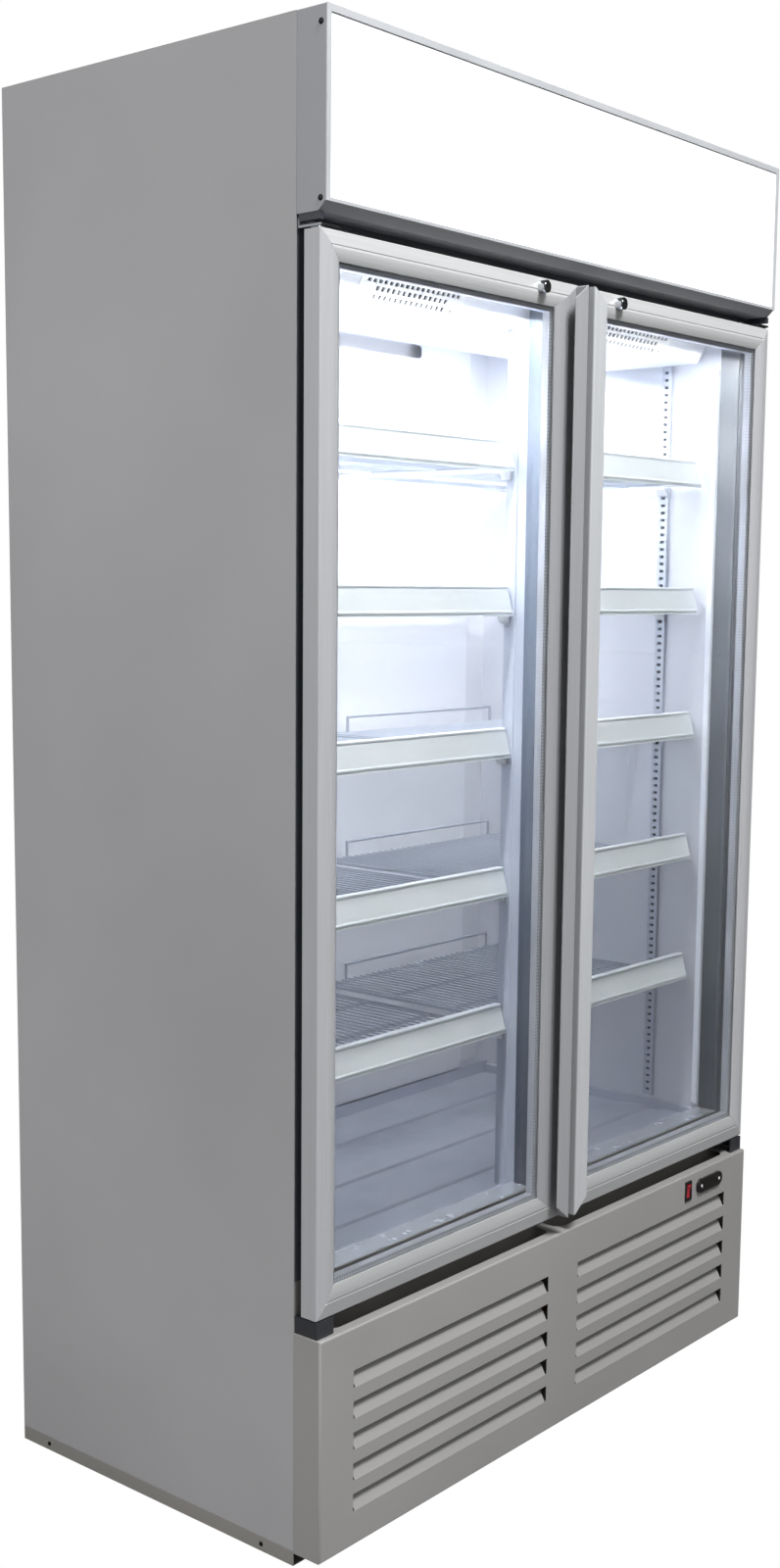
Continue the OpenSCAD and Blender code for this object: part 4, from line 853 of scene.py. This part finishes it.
# The lamps of the room: name, place, the point that it looks at, its size and its power's property
ROOM_LAMPS = (
    ("key_lamp", (-0.7, -2.7, 4.9), (0, 0, 0.9), (1.3, 1.3), "key_power"),
    ("side_lamp", (-4.5, 0.6, 2.4), (0, 0, 1.0), (2.0, 2.0), "side_power"),
)

# The lamps of each bay: name, distance from the middle, depth and height of the lamp
# and of the point that it looks at, its size, its power's property and its colour
BAY_LAMPS = (
    ("ceiling_lamp", 0.27, (-0.236, 1.705), (-0.04, 0.7), (0.45, 0.03), "inner_power", "#fffefc"),
    ("back_lamp", 0.27, (-0.02, 1.685), (0.2, 0.8), (0.42, 0.2), "back_power", "#fffefc"),
    ("outlet_lamp", 0.275, (-0.235, 1.6), (-0.2, 1.71), (0.3, 0.02), "outlet_power", "#ffffff"),
)

# The camera that was fitted to the photograph's corners, and how far its picture is shifted
CAMERA_PLACE = (-2.264, -1.847, 1.317)
CAMERA_FORWARD = (0.7586, 0.6391, -0.127)
CAMERA_UP = (0.0913, 0.0888, 0.9919)
CAMERA_SHIFT = (0.0009, 0.0232)
SENSOR_WIDTH_MM = 36

# The floor reaches far past the picture and lies just under the feet
FLOOR_HALF = 30.0
FLOOR_DROP = 0.5 * MM

# Depths on the floor, and slopes of a ray to the back, between which glass begins to show white
WHITE_FLOOR = (-0.6, -0.2)
WHITE_SKY = (-0.05, 0.1)

# Slopes of a ray between which the sky rises, the dark wall begins and the window ends
SKY_RISE = (-0.1, 0.9)
WALL_EDGE = (0.0, 0.5)
WINDOW_EDGE = (-0.3, 0.0)


class COOLER_OT_stage(bpy.types.Operator):
    """Set the floor, the sky, the lamps and the camera"""

    bl_idname = "cooler.stage"
    bl_label = "Stage"

    def execute(self, context):
        light = context.scene.cooler_light
        self.lay_floor(context.scene, light)
        self.hang_sky(context.scene, light)
        for name, place, target, size, power in ROOM_LAMPS:
            area_lamp(name, place, target, size, getattr(light, power))
        for side in (-1, 1):
            for name, x, place, target, size, power, colour in BAY_LAMPS:
                area_lamp(f"{name}_{side}", (side * x, *place), (side * x, *target), size,
                    getattr(light, power), colour)
        self.set_camera(context.scene, light)
        return {"FINISHED"}

    def lay_floor(self, scene, light):
        """A floor that throws back a share of the light and looks white to the camera."""
        mesh = bpy.data.meshes.new("studio_floor")
        corners = [(x * FLOOR_HALF, y * FLOOR_HALF, 0) for x, y in ((-1, -1), (1, -1), (1, 1), (-1, 1))]
        mesh.from_pydata(corners, [], [(0, 1, 2, 3)])
        floor = bpy.data.objects.new("studio_floor", mesh)
        scene.collection.objects.link(floor)
        floor.location.z = -FLOOR_DROP
        material, tree, output, place = new_material("matt_floor_paint")
        depth = add_node(tree, "ShaderNodeSeparateXYZ", None, {"Vector": place}).outputs["Y"]
        tone = scaled(tree, thrown_back(tree), 0.0, 1.0, light.floor_tone, light.glass_floor_tone)
        paint = add_node(tree, "ShaderNodeBsdfDiffuse", None, {"Color": tone})
        white = add_node(tree, "ShaderNodeEmission", {"Color": linear("#ffffff"), "Strength": 1.0})
        direct = seen_directly(tree, depth, *WHITE_FLOOR)
        mix = add_node(tree, "ShaderNodeMixShader", None, {"Fac": direct})
        tree.links.new(paint.outputs["BSDF"], mix.inputs[1])
        tree.links.new(white.outputs["Emission"], mix.inputs[2])
        tree.links.new(mix.outputs["Shader"], output.inputs["Surface"])
        mesh.materials.append(material)

    def hang_sky(self, scene, light):
        """A sky that is brightest overhead, with a window at the left and a dark wall at the right."""
        world = bpy.data.worlds.new("studio")
        scene.world = world
        world.use_nodes = True
        tree = world.node_tree
        tree.nodes.clear()
        direction = add_node(tree, "ShaderNodeTexCoord").outputs["Generated"]
        parts = add_node(tree, "ShaderNodeSeparateXYZ", None, {"Vector": direction})
        rise = scaled(tree, parts.outputs["Z"], *SKY_RISE, light.sky_low, light.sky_top)
        wall = scaled(tree, parts.outputs["X"], *WALL_EDGE, 0.0, -light.dark_wall)
        window = scaled(tree, parts.outputs["X"], *WINDOW_EDGE, light.window_fill, 0.0)
        rays = add_node(tree, "ShaderNodeLightPath")
        hidden = combine(tree, "MULTIPLY", wall, thrown_back(tree))
        filled = combine(tree, "MULTIPLY", window, rays.outputs["Is Transmission Ray"])
        change = combine(tree, "MULTIPLY", combine(tree, "ADD", hidden, filled), rise)
        level = combine(tree, "ADD", rise, change)
        sky = add_node(tree, "ShaderNodeBackground", {"Color": linear("#ffffff")}, {"Strength": level})
        white = add_node(tree, "ShaderNodeBackground", {"Color": linear("#ffffff"), "Strength": 1.0})
        direct = seen_directly(tree, parts.outputs["Y"], *WHITE_SKY)
        mix = add_node(tree, "ShaderNodeMixShader", None, {"Fac": direct})
        tree.links.new(sky.outputs["Background"], mix.inputs[1])
        tree.links.new(white.outputs["Background"], mix.inputs[2])
        out = add_node(tree, "ShaderNodeOutputWorld")
        tree.links.new(mix.outputs["Shader"], out.inputs["Surface"])

    def set_camera(self, scene, light):
        """The camera, where the photographer stood."""
        data = bpy.data.cameras.new("camera")
        data.sensor_width = SENSOR_WIDTH_MM
        data.lens = light.lens
        data.shift_x = CAMERA_SHIFT[0]
        data.shift_y = CAMERA_SHIFT[1]
        camera = bpy.data.objects.new("camera", data)
        scene.collection.objects.link(camera)
        forward = Vector(CAMERA_FORWARD).normalized()
        right = forward.cross(Vector(CAMERA_UP)).normalized()
        turn = Matrix((right, right.cross(forward), -forward)).transposed().to_4x4()
        camera.matrix_world = Matrix.Translation(CAMERA_PLACE) @ turn
        scene.camera = camera
        scene.view_settings.view_transform = "Standard"


class COOLER_PT_panel(bpy.types.Panel):
    """The add-on's buttons and values in the sidebar"""

    bl_idname = "COOLER_PT_panel"
    bl_label = "Glass Door Cooler"
    bl_space_type = "VIEW_3D"
    bl_region_type = "UI"
    bl_category = "Cooler"

    def draw(self, context):
        scene = context.scene
        for group in (scene.cooler_sizes, scene.cooler_colours, scene.cooler_light):
            for name in group.bl_rna.properties.keys():
                if name not in ("rna_type", "name"):
                    self.layout.prop(group, name)
        for operator in OPERATORS:
            self.layout.operator(operator.bl_idname)


OPERATORS = (
    COOLER_OT_stage,
    COOLER_OT_sheets,
    COOLER_OT_cold_space,
    COOLER_OT_air_outlet,
    COOLER_OT_upright_slots,
    COOLER_OT_canopy_shade_blocks,
    COOLER_OT_shelves,
    COOLER_OT_doors,
    COOLER_OT_spacers,
    COOLER_OT_gaskets,
    COOLER_OT_machine,
    COOLER_OT_controls,
)
CLASSES = (CoolerSizes, CoolerColours, CoolerLight) + OPERATORS + (COOLER_PT_panel,)


def register():
    """Registers the classes and puts the values on the scene."""
    for cls in CLASSES:
        bpy.utils.register_class(cls)
    bpy.types.Scene.cooler_sizes = bpy.props.PointerProperty(type=CoolerSizes)
    bpy.types.Scene.cooler_colours = bpy.props.PointerProperty(type=CoolerColours)
    bpy.types.Scene.cooler_light = bpy.props.PointerProperty(type=CoolerLight)


def unregister():
    """Takes the values and the classes away again."""
    del bpy.types.Scene.cooler_light
    del bpy.types.Scene.cooler_colours
    del bpy.types.Scene.cooler_sizes
    for cls in reversed(CLASSES):
        bpy.utils.unregister_class(cls)


def main():
    """Dresses the cooler."""
    register()
    finishes.update(make_finishes(bpy.context.scene.cooler_colours))
    bpy.ops.cooler.stage()
    bpy.ops.cooler.sheets()
    bpy.ops.cooler.cold_space()
    bpy.ops.cooler.air_outlet()
    bpy.ops.cooler.upright_slots()
    bpy.ops.cooler.canopy_seals()
    bpy.ops.cooler.shelves()
    bpy.ops.cooler.doors()
    bpy.ops.cooler.spacers()
    bpy.ops.cooler.gaskets()
    bpy.ops.cooler.machine()
    bpy.ops.cooler.controls()


if __name__ == "__main__":
    main()
